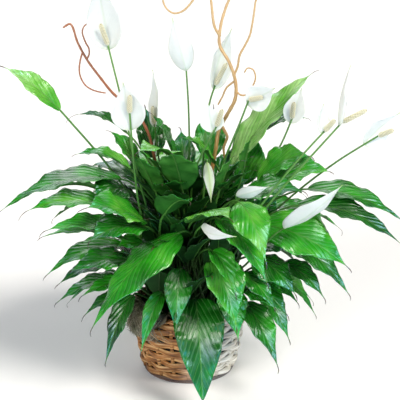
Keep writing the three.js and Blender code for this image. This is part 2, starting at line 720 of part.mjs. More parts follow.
// A side limb starts at the nearest place inside the main one.
function branch([name, color, rows]) {
  const limbs = rows.map(limb);
  const [{ points: trunk }, ...sides] = limbs;
  for (const { points } of sides) {
    const places = trunk.slice(1).map((end, i) => new THREE.Line3(trunk[i], end)
      .closestPointToPoint(points[0], true, new THREE.Vector3()));
    places.sort((one, other) => one.distanceTo(points[0]) - other.distanceTo(points[0]));
    points[0].copy(places[0]);
  }
  return { name, color, limbs };
}

const branches = willows.map(branch);

// The basket flares from its foot to its rim like a bowl.
function basketRadius(height) {
  const share = Math.min(height / basketHeight, 1);
  return mix(basketFootRadius, basketRimRadius, Math.sin(0.5 * Math.PI * share) ** basketFlare);
}

// A closed skin of revolution whose radius may swell round the axis. A level is [height, radius at an angle].
function turned(levels, segments, floorLow, floorHigh) {
  const points = [new THREE.Vector3(0, 0, floorLow)];
  const faces = [];
  const at = (level, k) => 1 + level * segments + (k % segments);
  levels.forEach(([height, radiusAt]) => {
    for (let k = 0; k < segments; k += 1) {
      const angle = (2 * Math.PI * k) / segments;
      const radius = typeof radiusAt === 'number' ? radiusAt : radiusAt(angle);
      points.push(new THREE.Vector3(radius * Math.cos(angle), radius * Math.sin(angle), height));
    }
  });
  const end = points.push(new THREE.Vector3(0, 0, floorHigh)) - 1;
  for (let k = 0; k < segments; k += 1) {
    faces.push([0, at(0, k + 1), at(0, k)]);
    faces.push([end, at(levels.length - 1, k), at(levels.length - 1, k + 1)]);
    for (let i = 0; i < levels.length - 1; i += 1) {
      faces.push([at(i, k), at(i, k + 1), at(i + 1, k + 1)], [at(i, k), at(i + 1, k + 1), at(i + 1, k)]);
    }
  }
  return indexedGeometry(points, faces);
}

function basket() {
  const rowHeight = (basketHeight - borderHeight - footBandHeight) / weaveRows;
  const levels = [
    [0, basketRadius(0) - footBandInset],
    [footBandHeight, basketRadius(footBandHeight) - footBandInset],
  ];
  for (let row = 0; row < weaveRows; row += 1) {
    const height = footBandHeight + (row + 0.5) * rowHeight;
    // Each strand passes outside every other stake, and the next row passes outside the stakes between.
    const turn = Math.PI * row;
    const bulge = (angle) => weaveDepth * Math.cos(0.5 * weaveStakes * angle + turn);
    levels.push([height, (angle) => basketRadius(height) + bulge(angle)]);
  }
  const border = basketHeight - borderHeight;
  levels.push([border, basketRadius(border) - 1]);
  levels.push([border + 0.5 * borderHeight, basketRimRadius + borderSwell]);
  levels.push([basketHeight, basketRimRadius - borderSwell]);
  levels.push([basketHeight, basketRimRadius - basketWall + borderSwell]);
  for (const share of [0.95, 0.66, 0.33]) {
    levels.push([share * basketHeight, basketInner(share * basketHeight)]);
  }
  levels.push([basketFloor, basketInner(basketFloor)]);
  return turned(levels, 2 * weaveStakes, 0, basketFloor);
}

function basketInner(height) {
  return basketRadius(height) - basketWall;
}

function liner() {
  const floor = basketFloor + clearance;
  const skinAt = (height, offset) => [height, basketInner(height) - 2 * clearance - offset];
  const walls = [0.33 * basketHeight, 0.66 * basketHeight, linerTop];
  return turned([
    skinAt(floor, 0),
    ...walls.map((height) => skinAt(height, 0)),
    ...walls.toReversed().map((height) => skinAt(height, linerThickness)),
    skinAt(floor + linerThickness, linerThickness),
  ], 2 * weaveStakes, floor, floor + linerThickness);
}

const potBottom = basketFloor + 2 * clearance + linerThickness;

function potRadius(height) {
  return mix(potFootRadius, potRimRadius - potLipStep, (height - potBottom) / (potHeight - potBottom));
}

function nurseryPot() {
  const lip = potHeight - potLipHeight;
  return turned([
    [potBottom, potRadius(potBottom)],
    [lip, potRadius(lip)],
    [lip, potRimRadius],
    [potHeight, potRimRadius],
    [potHeight, potRimRadius - potLipStep - potWall],
    [potBottom + potWall, potRadius(potBottom + potWall) - potWall],
  ], potSegments, potBottom, potBottom + potWall);
}

// The compost fills the pot, with a plain hole for each crown and each willow stake.
function soil() {
  const low = potBottom + potWall + clearance;
  const gap = potWall + 3 * clearance;
  const edge = soilTop - soilDome;
  const body = turned([
    [low, potRadius(low) - gap],
    [edge, potRadius(edge) - gap],
  ], soilSegments, low, soilTop);
  let solid = toSolid(body);
  for (const { azimuth, radius } of shoots) {
    const centre = polar(azimuth, radius, 0);
    solid = solid.subtract(hexagonHole(centre, crownRadius + clearance, soilTop - crownDepth));
  }
  for (const [, , [[thickness, , [foot]]]] of willows) {
    const centre = new THREE.Vector3(foot[0], foot[1], 0);
    solid = solid.subtract(hexagonHole(centre, 0.5 * thickness + clearance, foot[2] - clearance));
  }
  return toGeometry(solid);
}

// A tuft of moss lies on the edge of the soil and hangs over the basket's rim.
const mossPath = [[80, 106.3], [88, 124], [95.5, 141.5], [107, 142.5], [114, 130], [116, 111], [114, 94]];

function moss() {
  const draw = draws(7);
  const sections = [];
  for (let i = 0; i < mossSections; i += 1) {
    const azimuth = mix(mossStart, mossEnd, i / (mossSections - 1));
    const bulk = mix(mossThinEnd, 1, Math.sin((Math.PI * (i + 0.6)) / (mossSections + 0.2)));
    const outer = [];
    const inner = [];
    mossPath.forEach(([radius, height], k) => {
      const last = mossPath.length - 1;
      const [before, after] = [mossPath[Math.max(k - 1, 0)], mossPath[Math.min(k + 1, last)]];
      const way = new THREE.Vector2(after[0] - before[0], after[1] - before[1]).normalize();
      const sag = k >= last - 1 ? (1 - bulk) * mossHang : 0;
      const swell = mossHalfThickness * bulk + mossRelief * draw();
      outer.push(polar(azimuth + draw(), radius - way.y * swell, height + sag + way.x * swell));
      inner.push(polar(azimuth, radius + way.y * mossBack, height + sag - way.x * mossBack));
    });
    sections.push([...outer, ...inner.toReversed()]);
  }
  return loft(sections, { bentSection: true });
}

const plant = new THREE.Group();

function addMesh(name, geometry, color, roughness) {
  const material = new THREE.MeshStandardMaterial({ color, roughness, metalness: 0, flatShading: true });
  const mesh = new THREE.Mesh(geometry, material);
  mesh.name = name;
  plant.add(mesh);
}

function numbered(name, number) {
  return `${name}_${String(number).padStart(2, '0')}`;
}

addMesh('basket', basket(), 0xb08a5a, 0.75);
addMesh('basket_liner', liner(), 0x2a2a2c, 0.4);
addMesh('nursery_pot', nurseryPot(), 0x23302a, 0.5);
addMesh('soil', soil(), 0x3a2a1e, 0.95);
addMesh('moss', moss(), 0x6b6450, 0.95);

// The stalks that keep clear of one another grow straight out of the faces of the crown. A stalk that runs
// through one of those starts inside the crown instead, and is fused with it.
function grow(centre, slots, stalks) {
  const clear = [];
  const sunk = [];
  for (const { slot, rings } of stalks) {
    const solid = toSolid(loft(rings, { slant: bladeSlant }));
    const crossed = clear.some((other) => other.solid.intersect(solid).volume() > tinyVolume);
    (crossed ? sunk : clear).push({ slot, rings, solid });
  }
  const skin = [crownSkin(centre, slots, clear.map(({ slot }) => slot))];
  skin.push(...clear.map(({ rings }) => loft(rings, { slant: bladeSlant, openStart: true })));
  let whole = toSolid(mergeGeometries(skin));
  const heart = centre.clone().setZ(soilTop);
  for (const { rings } of sunk) {
    const root = rings[0].map((corner) => corner.clone().lerp(heart, rootSink));
    whole = whole.add(toSolid(loft([root, ...rings.slice(1)], { slant: bladeSlant })));
  }
  // What the crossing stalks cut off or shut in is left out.
  const bodies = whole.decompose();
  bodies.sort((one, other) => other.volume() - one.volume());
  return toGeometry(bodies[0]);
}

const crowns = shoots.map(({ azimuth, radius, leaves }, index) => {
  const centre = polar(azimuth, radius, 0);
  const own = blooms.filter(([shoot]) => shoot === index + 1);
  const goals = [...leaves.map(([junction]) => junction), ...own.map(([, passes]) => passes.at(-1))];
  const [slots, rank] = crownSlots(centre, goals);
  const faces = rank.map((slot) => crownFace(centre, slots, slot));
  const stalkAt = (k) => ({ shoot: index, slot: rank[k], face: faces[k] });
  const petioles = leaves.map((row, k) => (
    { ...stalkAt(k), row, phase: leafTurn * (5 * index + k), ...petiole(centre, faces[k], row) }));
  const stems = own.map((bloom, i) => {
    const k = leaves.length + i;
    return { ...stalkAt(k), bloom, ...flowerStem(centre, faces[k], bloom) };
  });
  return { centre, slots, stalks: [...petioles, ...stems] };
});
bendClear([...crowns.flatMap(({ stalks }) => stalks), ...branches.flatMap(({ limbs }) => limbs)]);

for (const { name, color, limbs } of branches) {
  addMesh(name, toGeometry(fused(limbs.map(limbSkin))), color, 0.6);
}

crowns.forEach(({ centre, slots, stalks }, index) => {
  for (const stalk of stalks) {
    const { face, row, phase, bloom } = stalk;
    stalk.rings = row ? leafRings(face, stalk, row, phase) : stalkRings(face, stalk);
    if (bloom) {
      const [top, spadixTip] = [vector(bloom[2]), bloom[3]];
      const number = blooms.indexOf(bloom) + 1;
      const stem = toSolid(loft(stalk.rings));
      addMesh(numbered('spathe', number), seated(stem, (off) => spathe(stalk, bloom, off)), 0xf4f7f1, 0.45);
      if (spadixTip) {
        const finger = seated(stem, (off) => spadix(top, vector(spadixTip), off));
        addMesh(numbered('spadix', number), finger, 0xe6dfae, 0.7);
      }
    }
  }
  addMesh(numbered('shoot', index + 1), grow(centre, slots, stalks), 0x2f7a2c, 0.35);
});

export default plant;
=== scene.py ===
# Potted peace lily in a woven basket, with curly willow and moss. Metres, +Z up, the front is -Y.
import json
import math
import random

import bpy
import numpy as np
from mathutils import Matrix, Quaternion, Vector

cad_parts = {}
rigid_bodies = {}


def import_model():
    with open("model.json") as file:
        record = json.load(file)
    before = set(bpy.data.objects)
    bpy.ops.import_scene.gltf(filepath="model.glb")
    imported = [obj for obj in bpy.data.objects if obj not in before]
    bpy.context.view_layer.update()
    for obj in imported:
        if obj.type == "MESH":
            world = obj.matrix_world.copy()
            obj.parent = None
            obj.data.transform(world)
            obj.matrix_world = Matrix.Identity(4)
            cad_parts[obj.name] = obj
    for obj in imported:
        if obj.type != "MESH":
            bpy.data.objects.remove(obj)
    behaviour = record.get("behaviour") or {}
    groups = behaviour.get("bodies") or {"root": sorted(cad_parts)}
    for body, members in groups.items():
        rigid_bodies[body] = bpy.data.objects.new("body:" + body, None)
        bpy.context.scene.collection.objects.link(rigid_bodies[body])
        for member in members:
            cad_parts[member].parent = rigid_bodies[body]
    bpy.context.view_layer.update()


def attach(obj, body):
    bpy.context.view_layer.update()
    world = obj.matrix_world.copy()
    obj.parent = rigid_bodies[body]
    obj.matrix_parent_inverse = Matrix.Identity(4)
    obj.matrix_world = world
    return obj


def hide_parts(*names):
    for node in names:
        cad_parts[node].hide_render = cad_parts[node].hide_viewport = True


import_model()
mm = 0.001
up = Vector((0, 0, 1))


def hexColor(code):
    # sRGB hex to the linear values that a shader wants
    parts = [int(code[k:k + 2], 16) / 255 for k in (0, 2, 4)]
    return [v / 12.92 if v <= 0.04045 else ((v + 0.055) / 1.055) ** 2.4 for v in parts] + [1]


def mix(a, b, t):
    return a + (b - a) * t


def plug(node, name, value):
    # a socket is linked to the node's input, any other value is set on the input or on the node itself
    if isinstance(value, bpy.types.NodeSocket):
        node.id_data.links.new(value, node.inputs[name])
    elif isinstance(name, str) and hasattr(node, name):
        setattr(node, name, value)
    else:
        node.inputs[name].default_value = value


def addNode(tree, kind, output, settings):
    # one node, given back as its output socket
    node = tree.nodes.new(kind)
    for name, value in settings.items():
        plug(node, name, value)
    return node.outputs[output]


def calculate(tree, operation, *terms):
    return addNode(tree, "ShaderNodeMath", "Value", {"operation": operation, **dict(enumerate(terms))})


def rescale(tree, source, fromLow, fromHigh, toLow=0.0, toHigh=1.0):
    return addNode(tree, "ShaderNodeMapRange", "Result", {
        "Value": source, "From Min": fromLow, "From Max": fromHigh, "To Min": toLow, "To Max": toHigh})


def blend(tree, share, first, second):
    # the first color where the share is 0, the second where it is 1
    colors = [hexColor(color) if isinstance(color, str) else color for color in (first, second)]
    return addNode(tree, "ShaderNodeMix", 2, {"data_type": "RGBA", 0: share, 6: colors[0], 7: colors[1]})


def shadeColor(tree, color, share):
    return addNode(tree, "ShaderNodeVectorMath", 0, {"operation": "SCALE", 0: color, "Scale": share})


def addRamp(tree, source, stops):
    output = addNode(tree, "ShaderNodeValToRGB", "Color", {"Fac": source})
    elements = output.node.color_ramp.elements
    while len(elements) < len(stops):
        elements.new(0.5)
    for element, (place, code) in zip(elements, stops):
        element.position = place
        element.color = hexColor(code)
    return output


def readNumber(tree, name):
    return addNode(tree, "ShaderNodeAttribute", "Fac", {"attribute_name": name})


def readUv(tree, name):
    return addNode(tree, "ShaderNodeUVMap", "UV", {"uv_map": name})


def readPlace(tree):
    return addNode(tree, "ShaderNodeTexCoord", "Object", {})


def pick(tree, vector, axis):
    return addNode(tree, "ShaderNodeSeparateXYZ", axis, {"Vector": vector})


def stretchUv(tree, name, across, along):
    return addNode(tree, "ShaderNodeMapping", "Vector", {
        "Scale": (across, along, 1), "Vector": readUv(tree, name)})


def addNoise(tree, scale, detail=2.0, vector=None, roughness=0.5):
    # a noise in the piece's own space with its scale per metre, or along another vector
    return addNode(tree, "ShaderNodeTexNoise", "Fac", {
        "Scale": scale, "Detail": detail, "Roughness": roughness, "Vector": vector or readPlace(tree)})


def addRelief(tree, height, strength, depth, under=None):
    settings = {"Strength": strength, "Distance": depth, "Height": height}
    if under:
        settings["Normal"] = under
    return addNode(tree, "ShaderNodeBump", "Normal", settings)


def startMaterial(name):
    material = bpy.data.materials.new(name)
    material.use_nodes = True
    return material, material.node_tree


def finishMaterial(material, settings):
    for name, value in settings.items():
        plug(material.node_tree.nodes["Principled BSDF"], name, value)
    return material


def deselectAll():
    if bpy.context.object and bpy.context.object.mode != "OBJECT":
        bpy.ops.object.mode_set(mode="OBJECT")
    bpy.ops.object.select_all(action="DESELECT")


def activate(piece):
    deselectAll()
    piece.select_set(True)
    bpy.context.view_layer.objects.active = piece


def startEdit():
    bpy.ops.object.mode_set(mode="EDIT")
    bpy.ops.mesh.select_all(action="SELECT")


def turnOutward():
    # ends edit mode with every face turned outward
    bpy.ops.mesh.select_all(action="SELECT")
    bpy.ops.mesh.normals_make_consistent(inside=False)
    bpy.ops.object.mode_set(mode="OBJECT")


def thicken(piece, thickness, backSlot=0):
    # a sheet gets its thickness to both of its sides
    activate(piece)
    shell = piece.modifiers.new("thickness", "SOLIDIFY")
    shell.thickness = thickness * mm
    shell.offset = 0
    shell.material_offset = backSlot
    bpy.ops.object.modifier_apply(modifier=shell.name)


def joinPieces(pieces, name):
    activate(pieces[0])
    for piece in pieces[1:]:
        piece.select_set(True)
    if len(pieces) > 1:
        bpy.ops.object.join()
    piece = bpy.context.view_layer.objects.active
    piece.name = name
    piece.data.name = name
    return piece


def finishPiece(piece, nodes=(), smooth=True):
    activate(piece)
    if smooth:
        bpy.ops.object.shade_smooth()
    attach(piece, "root")
    if nodes:
        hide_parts(*nodes)
    return piece


def addMesh(name, operator, **settings):
    deselectAll()
    operator(location=(0, 0, 0), **settings)
    bpy.context.object.name = name
    return bpy.context.object


def copyBlank(blank, name):
    piece = blank.copy()
    piece.data = blank.data.copy()
    piece.name = name
    bpy.context.scene.collection.objects.link(piece)
    return piece


def readPoints(piece):
    points = np.empty(len(piece.data.vertices) * 3)
    piece.data.vertices.foreach_get("co", points)
    return points.reshape(-1, 3)


def writePoints(piece, points):
    piece.data.vertices.foreach_set("co", points.astype(np.float32).ravel())
    piece.data.update()


def writeNumber(piece, name, values):
    attribute = piece.data.attributes.get(name) or piece.data.attributes.new(name, "FLOAT", "POINT")
    attribute.data.foreach_set("value", np.asarray(values, np.float32))


def writeUv(piece, name, uv):
    layer = piece.data.uv_layers.get(name) or piece.data.uv_layers.new(name=name)
    corners = np.empty(len(piece.data.loops), np.int32)
    piece.data.loops.foreach_get("vertex_index", corners)
    layer.data.foreach_set("uv", uv[corners].astype(np.float32).ravel())


# Camera and light, as in the photograph: seen from a little above, lit from the right and in front.
view = {"target": (0.021, 0, 0.330), "distance": 2.6, "elevation": 20, "lens": 128.57}
suns = {
    "windowLight": {"way": (0.56, -0.40, 0.72), "strength": 3.2, "spread": 28, "color": "fffaf2"},
    "fillLight": {"way": (-0.50, -0.78, 0.38), "strength": 1.75, "spread": 27, "color": "fffdfb"},
    "backLight": {"way": (-0.12, 0.84, 0.53), "strength": 1.1, "spread": 36, "color": "f8fcff"},
}
softbox = {"place": (0.70, -2.2, 0.22), "aim": (0, 0, 0.2), "size": 0.7, "power": 15, "color": "58baff"}
skyStrength = 0.14


def addLamp(kind, name, place, way, color, settings):
    bpy.ops.object.light_add(type=kind, location=place)
    lamp = bpy.context.object
    lamp.name = name
    lamp.rotation_euler = way.to_track_quat("Z", "Y").to_euler()
    lamp.data.color = hexColor(color)[:3]
    for key, value in settings.items():
        setattr(lamp.data, key, value)


def makeStage():
    tilt = math.radians(view["elevation"])
    place = Vector(view["target"]) + view["distance"] * Vector((0, -math.cos(tilt), math.sin(tilt)))
    bpy.ops.object.camera_add(location=place, rotation=(math.pi / 2 - tilt, 0, 0))
    camera = bpy.context.object
    camera.data.lens = view["lens"]
    camera.data.sensor_width = 36
    camera.data.clip_end = 60
    bpy.context.scene.camera = camera
    for name, row in suns.items():
        way = Vector(row["way"])
        addLamp("SUN", name, way * 3, way, row["color"],
                {"energy": row["strength"], "angle": math.radians(row["spread"])})
    addLamp("AREA", "coolSoftbox", softbox["place"], Vector(softbox["place"]) - Vector(softbox["aim"]),
            softbox["color"], {"energy": softbox["power"], "size": softbox["size"]})
    world = bpy.data.worlds.new("studioWhite")
    world.use_nodes = True
    background = world.node_tree.nodes["Background"]
    background.inputs["Color"].default_value = (1, 1, 1, 1)
    background.inputs["Strength"].default_value = skyStrength
    bpy.context.scene.world = world
    bpy.context.scene.view_settings.view_transform = "Standard"
    floor = addMesh("floor", bpy.ops.mesh.primitive_plane_add, size=40)
    # painted white studio floor, matt all over
    paint = finishMaterial(startMaterial("mattWhitePaint")[0], {
        "Base Color": hexColor("f9f9f9"), "Roughness": 0.9, "Specular IOR Level": 0.1})
    floor.data.materials.append(paint)


makeStage()
print("stage ready")


# The plant: the leaves of shoots 1 to 22, ring after ring. A leaf is
# [junction with its stalk, tip, blade width, arch, roll, fold], in millimetres and degrees.
leafRows = [
  [
    [[13, -107, 180], [26, -205, 28], 90, 0.32, 0, 16],
    [[-14, -98, 235], [-23, -160, 136], 50, 0.3, -12, 16],
  ],
  [
    [[68, -85, 190], [90, -138, 112], 58, 0.3, 0, 14],
    [[98, -74, 158], [160, -158, 70], 60, 0.3, 0, 12],
    [[95, -80, 205], [175, -140, 165], 78, 0.25, 12, 10],
  ],
  [
    [[128, -36, 166], [184, -92, 90], 48, 0.3, 8, 12],
    [[135, -30, 190], [200, -58, 150], 38, 0.25, 10, 12],
    [[150, -15, 200], [235, -36, 115], 38, 0.3, 15, 14],
    [[124, 18, 190], [235, 40, 110], 60, 0.3, 0, 14],
  ],
  [
    [[108, 62, 215], [215, 120, 150], 68, 0.3, 0, 14],
  ],
  [
    [[80, 96, 195], [160, 185, 95], 66, 0.3, 0, 12],
    [[38, 118, 220], [75, 230, 150], 70, 0.3, 0, -10],
  ],
  [
    [[-5, 125, 190], [-10, 235, 90], 66, 0.3, 0, 12],
    [[-50, 115, 215], [-100, 225, 150], 72, 0.3, 0, -10],
  ],
  [
    [[-88, 88, 195], [-170, 170, 100], 66, 0.3, 0, 12],
    [[-115, 50, 215], [-225, 95, 150], 68, 0.3, 0, 12],
  ],
  [
    [[-124, 15, 170], [-230, 30, 110], 60, 0.3, 0, 12],
    [[-120, -38, 188], [-240, -76, 158], 48, 0.25, -6, 12],
    [[-112, -30, 152], [-190, -62, 128], 36, 0.3, -10, 12],
    [[-118, -22, 215], [-235, -85, 198], 52, 0.25, -8, 12],
  ],
  [
    [[-100, -70, 172], [-150, -125, 60], 60, 0.3, 0, 12],
    [[-45, -88, 185], [-85, -140, 90], 46, 0.3, -20, 30],
    [[-100, -75, 195], [-190, -112, 188], 46, 0.25, -10, 12],
    [[-100, -65, 235], [-205, -130, 245], 70, 0.2, -15, 10],
  ],
  [
    [[45, -115, 255], [85, -190, 160], 76, 0.3, 0, 22],
    [[42, -135, 285], [82, -195, 230], 46, 0.3, 0, 24],
    [[96, -100, 226], [152, -156, 184], 48, 0.25, 10, 12],
    [[62, -72, 214], [100, -112, 210], 50, 0.25, 20, 12],
  ],
  [
    [[118, -78, 250], [190, -134, 200], 72, 0.25, 12, -12],
    [[170, -50, 225], [245, -95, 175], 48, 0.3, 10, 12],
    [[165, -35, 265], [290, -90, 180], 66, 0.3, 15, 10],
    [[130, -75, 310], [280, -140, 255], 92, 0.2, 30, 8],
    [[112, -38, 258], [192, -66, 258], 60, 0.2, 25, 12],
  ],
  [
    [[140, 48, 290], [290, 95, 235], 76, 0.3, 0, 14],
    [[205, 22, 305], [275, 32, 208], 42, 0.4, 10, 14],
    [[160, 3, 284], [255, -8, 238], 38, 0.3, 10, 14],
    [[105, 42, 225], [165, 62, 320], 80, 0.1, 50, 10],
  ],
  [
    [[115, 95, 310], [230, 195, 265], 80, 0.3, 0, -10],
    [[70, 130, 290], [140, 270, 225], 78, 0.3, 0, 14],
    [[62, 88, 225], [95, 135, 330], 84, 0.1, 0, 10],
  ],
  [
    [[15, 150, 310], [30, 310, 265], 80, 0.3, 0, -10],
    [[-42, 142, 290], [-85, 290, 225], 76, 0.3, 0, 14],
    [[-12, 82, 225], [-16, 125, 335], 84, 0.1, 0, 10],
  ],
  [
    [[-92, 118, 310], [-190, 240, 265], 80, 0.3, 0, -10],
    [[-130, 75, 290], [-265, 150, 235], 76, 0.3, 0, 14],
    [[-80, 62, 225], [-120, 98, 325], 84, 0.1, 0, 10],
  ],
  [
    [[-120, -18, 250], [-255, -72, 212], 54, 0.25, -10, 12],
    [[-145, -40, 335], [-285, -80, 338], 66, 0.2, -8, 14],
    [[-112, -58, 275], [-255, -112, 302], 50, 0.2, 0, 14],
    [[-150, 25, 335], [-250, 20, 345], 54, 0.25, 25, 12],
    [[-66, -42, 255], [-128, -76, 268], 58, 0.25, -20, 12],
  ],
  [
    [[-14, -119, 313], [-165, -229, 177], 98, 0.25, 0, -16],
    [[-100, -88, 300], [-245, -150, 328], 62, 0.2, -8, 14],
    [[-76, -108, 320], [-165, -212, 332], 80, 0.2, -12, 8],
  ],
  [
    [[-42, -128, 349], [4, -190, 396], 64, 0.3, -20, 14],
    [[8, -110, 330], [72, -210, 372], 80, 0.3, 0, -10],
    [[-78, -92, 325], [-172, -172, 378], 92, 0.2, -20, 8],
    [[-10, -75, 376], [-27, -143, 466], 70, 0.2, 0, 12],
  ],
  [
    [[88, -125, 372], [132, -230, 302], 70, 0.3, 10, -14],
    [[55, -112, 335], [135, -228, 262], 66, 0.25, 0, 18],
    [[95, -74, 362], [200, -108, 385], 74, 0.2, 15, 12],
    [[150, -26, 371], [250, -58, 404], 76, 0.25, 18, 12],
    [[195, -56, 340], [380, -104, 281], 66, 0.25, 8, 14],
    [[215, -14, 356], [388, -50, 306], 64, 0.2, 8, 14],
    [[56, -50, 368], [78, -62, 432], 44, 0.2, 0, 14],
  ],
  [
    [[125, -6, 367], [215, -33, 425], 84, 0.3, 22, 12],
    [[80, 42, 380], [230, 110, 540], 90, 0.15, 0, 14],
    [[142, 62, 445], [218, 62, 466], 42, 0.25, 0, 14],
    [[98, 2, 385], [112, -4, 450], 42, 0.2, 0, 14],
    [[60, 88, 330], [130, 190, 345], 76, 0.3, 0, 14],
    [[48, 0, 400], [-10, -8, 452], 60, 0.25, 0, 14],
    [[38, 48, 392], [46, 72, 480], 60, 0.15, 0, 14],
    [[100, 55, 340], [120, 95, 430], 76, 0.15, 0, 12],
  ],
  [
    [[-65, 62, 390], [-80, 92, 478], 58, 0.15, 0, 14],
    [[-25, 32, 402], [-66, 36, 482], 52, 0.2, 0, 14],
    [[-52, 95, 335], [-110, 205, 350], 76, 0.3, 0, 14],
    [[8, 110, 335], [20, 225, 350], 78, 0.3, 0, -10],
    [[-8, 42, 365], [-14, 72, 440], 46, 0.2, 0, 14],
    [[-95, 80, 335], [-190, 145, 345], 74, 0.3, 0, 14],
  ],
  [
    [[-120, -15, 375], [-335, -60, 330], 76, 0.25, -4, 12],
    [[-105, 10, 385], [-205, 4, 415], 56, 0.3, 0, 16],
    [[-116, -24, 360], [-162, -78, 350], 74, 0.3, -20, 8],
    [[-230, 20, 494], [-325, 0, 579], 46, 0.15, -40, 14],
    [[-112, 50, 442], [-206, 58, 474], 54, 0.3, 0, 14],
    [[-95, 62, 372], [-145, 90, 432], 46, 0.25, 0, 14],
    [[-20, -30, 415], [-85, -100, 455], 80, 0.25, 0, 10],
    [[-58, -55, 366], [-88, -90, 442], 56, 0.2, 0, 12],
  ],
]

# The shoots stand on their crowns in three even rings, each from the azimuth of its first one.
shootRings = [
  {"radius": 62, "first": -90, "count": 9},
  {"radius": 38, "first": -67, "count": 8},
  {"radius": 15, "first": -90, "count": 5},
]
shoots = []
for ring in shootRings:
    for k in range(ring["count"]):
        azimuth = ring["first"] + 360 / ring["count"] * k
        shoots.append({"azimuth": azimuth, "radius": ring["radius"], "leaves": leafRows[len(shoots)]})

# A bloom is [shoot, points its stem passes, top of the stem, spadix tip or nothing,
# how far below the top the spathe joins, spathe tip, spathe width, the way it faces, its bow].
blooms = [
  [22, [[-60, -30, 270], [-97, -20, 417], [-108, -10, 475]], [-141, 10, 616], [-152, 2, 655], 8,
    [-158, 2, 732], 62, -90, 0.16],
  [17, [[-83, -70, 328], [-95, -74, 432]], [-101, -62, 513], [-100, -64, 545], 30,
    [-112, -56, 566], 60, -84, 0.12],
  [21, [[-46, 44, 330]], [-63, 66, 454], [-65, 64, 488], 6, [-66, 76, 554], 36, -150, 0.12],
  [21, [[-2, 34, 250], [2, 40, 434]], [-4, 40, 570], None, 8, [-28, 30, 660], 44, 90, 0.1],
  [20, [[22, 18, 300], [34, 26, 486]], [48, 26, 539], [68, 24, 579], 8, [78, 30, 641], 50, -50, 0.16],
  [18, [[22, -48, 300]], [34, -66, 430], None, 6, [40, -112, 366], 26, 100, 0.2],
  [18, [[8, -36, 383], [30, -38, 442]], [50, -34, 480], [60, -38, 512], 12, [36, -28, 520], 44, -70, 0.14],
  [20, [[66, -28, 420], [84, -35, 468]], [106, -40, 530], [130, -50, 538], 8,
    [150, -56, 556], 48, -120, 0.24],
  [12, [[95, 12, 300], [160, 26, 410]], [187, 32, 474], [190, 28, 506], 8, [204, 38, 530], 40, -100, 0.14],
  [11, [[144, -136, 378], [203, -105, 437]], [270, -42, 490], [312, -40, 512], 8,
    [284, -34, 592], 48, -10, 0.12],
  [11, [[120, -134, 360], [189, -114, 444]], [238, -62, 480], [255, -67, 502], 8,
    [236, -60, 528], 44, -40, 0.24],
  [19, [[150, 8, 296], [238, 4, 380]], [340, 0, 452], [366, -4, 464], 30, [378, 4, 494], 44, -70, 0.14],
  [10, [[56, -76, 290], [82, -102, 356]], [84, -112, 381], None, 2, [140, -134, 404], 28, 80, 0.16],
  [10, [[98, -106, 246], [138, -130, 302]], [172, -112, 322], None, 6, [262, -160, 416], 52, 120, 0.14],
  [18, [[10, -112, 300]], [26, -163, 344], None, 6, [82, -232, 350], 34, 60, 0.34],
]

# A willow branch is [node, limbs], and a limb is [thickness at its start and end, points it passes].
willows = [
  ["willow_left", [
    [6.4, 2.4, [
      [-24, 24, 78], [-24, 24, 104], [-25, 25, 140], [-32, 34, 230], [-54, 38, 350],
      [-73, 35, 447], [-88, 34, 476], [-112, 32, 500], [-137, 30, 525], [-163, 30, 560], [-188, 25, 600],
      [-200, 22, 632], [-207, 20, 652], [-214, 20, 663], [-221, 20, 659], [-220, 20, 645],
    ]],
    [2.6, 1.6, [
      [-188, 25, 600], [-193, 20, 575], [-192, 20, 557], [-182, 20, 539], [-166, 20, 530], [-147, 20, 526],
    ]],
    [2.6, 1.6, [
      [-180, 27, 586], [-175, 30, 600], [-184, 34, 620], [-187, 35, 639], [-177, 35, 650],
    ]],
  ]],
  ["willow_centre", [
    [8, 3, [
      [0, 0, 78], [0, 0, 104], [1, 1, 140], [12, 9, 220], [30, 16, 320], [47, 20, 406],
      [58, 20, 466], [76, 15, 498], [87, 10, 534], [81, 10, 560], [72, 10, 586], [55, 15, 617],
      [51, 15, 631], [57, 15, 648], [61, 20, 669], [72, 20, 694], [80, 22, 722], [76, 20, 748],
    ]],
    [4, 2, [
      [51, 15, 631], [44, 10, 661], [40, 10, 696], [34, 12, 720], [23, 14, 722], [12, 15, 700],
      [-5, 15, 679], [-20, 16, 671], [-36, 20, 677], [-44, 20, 696], [-42, 20, 716],
    ]],
    [3.4, 2, [
      [81, 10, 560], [87, 8, 576], [92, 5, 603], [106, 5, 628], [113, 0, 662], [118, 0, 699],
      [127, 0, 730], [122, 2, 754],
    ]],
    [3, 1.8, [
      [84, 10, 552], [68, 15, 537], [62, 18, 522], [53, 20, 504],
    ]],
    [2.6, 1.6, [
      [87, 10, 534], [97, 6, 524], [109, 5, 535], [119, 5, 556], [116, 5, 571], [107, 5, 577], [99, 5, 567],
    ]],
    [5, 2.4, [
      [58, 20, 466], [70, 17, 446], [64, 21, 424], [66, 24, 400],
    ]],
  ]],
]

crown = {"radius": 6.8, "topRadius": 2.4, "rise": 5, "soil": 108}
stalk = {"halfWidth": 2.3, "spread": 7, "lean": 0.1, "rise": 0.45, "arrival": 0.3, "rootStretch": 0.3,
         "long": (0.34, 0.66, 0.93), "short": (0.45, 0.92), "longReach": 190}
stem = {"radius": 2.1, "footRadius": 2.52, "rise": 45}
willowRoom = {"straight": 12, "shown": 440}
# between two stalks, and about how near two stretches must be to be looked at
gapBetween = 0.6
nearRoom = 14


def polar(azimuth, radius, height):
    angle = math.radians(azimuth)
    return Vector((radius * math.cos(angle), radius * math.sin(angle), height))


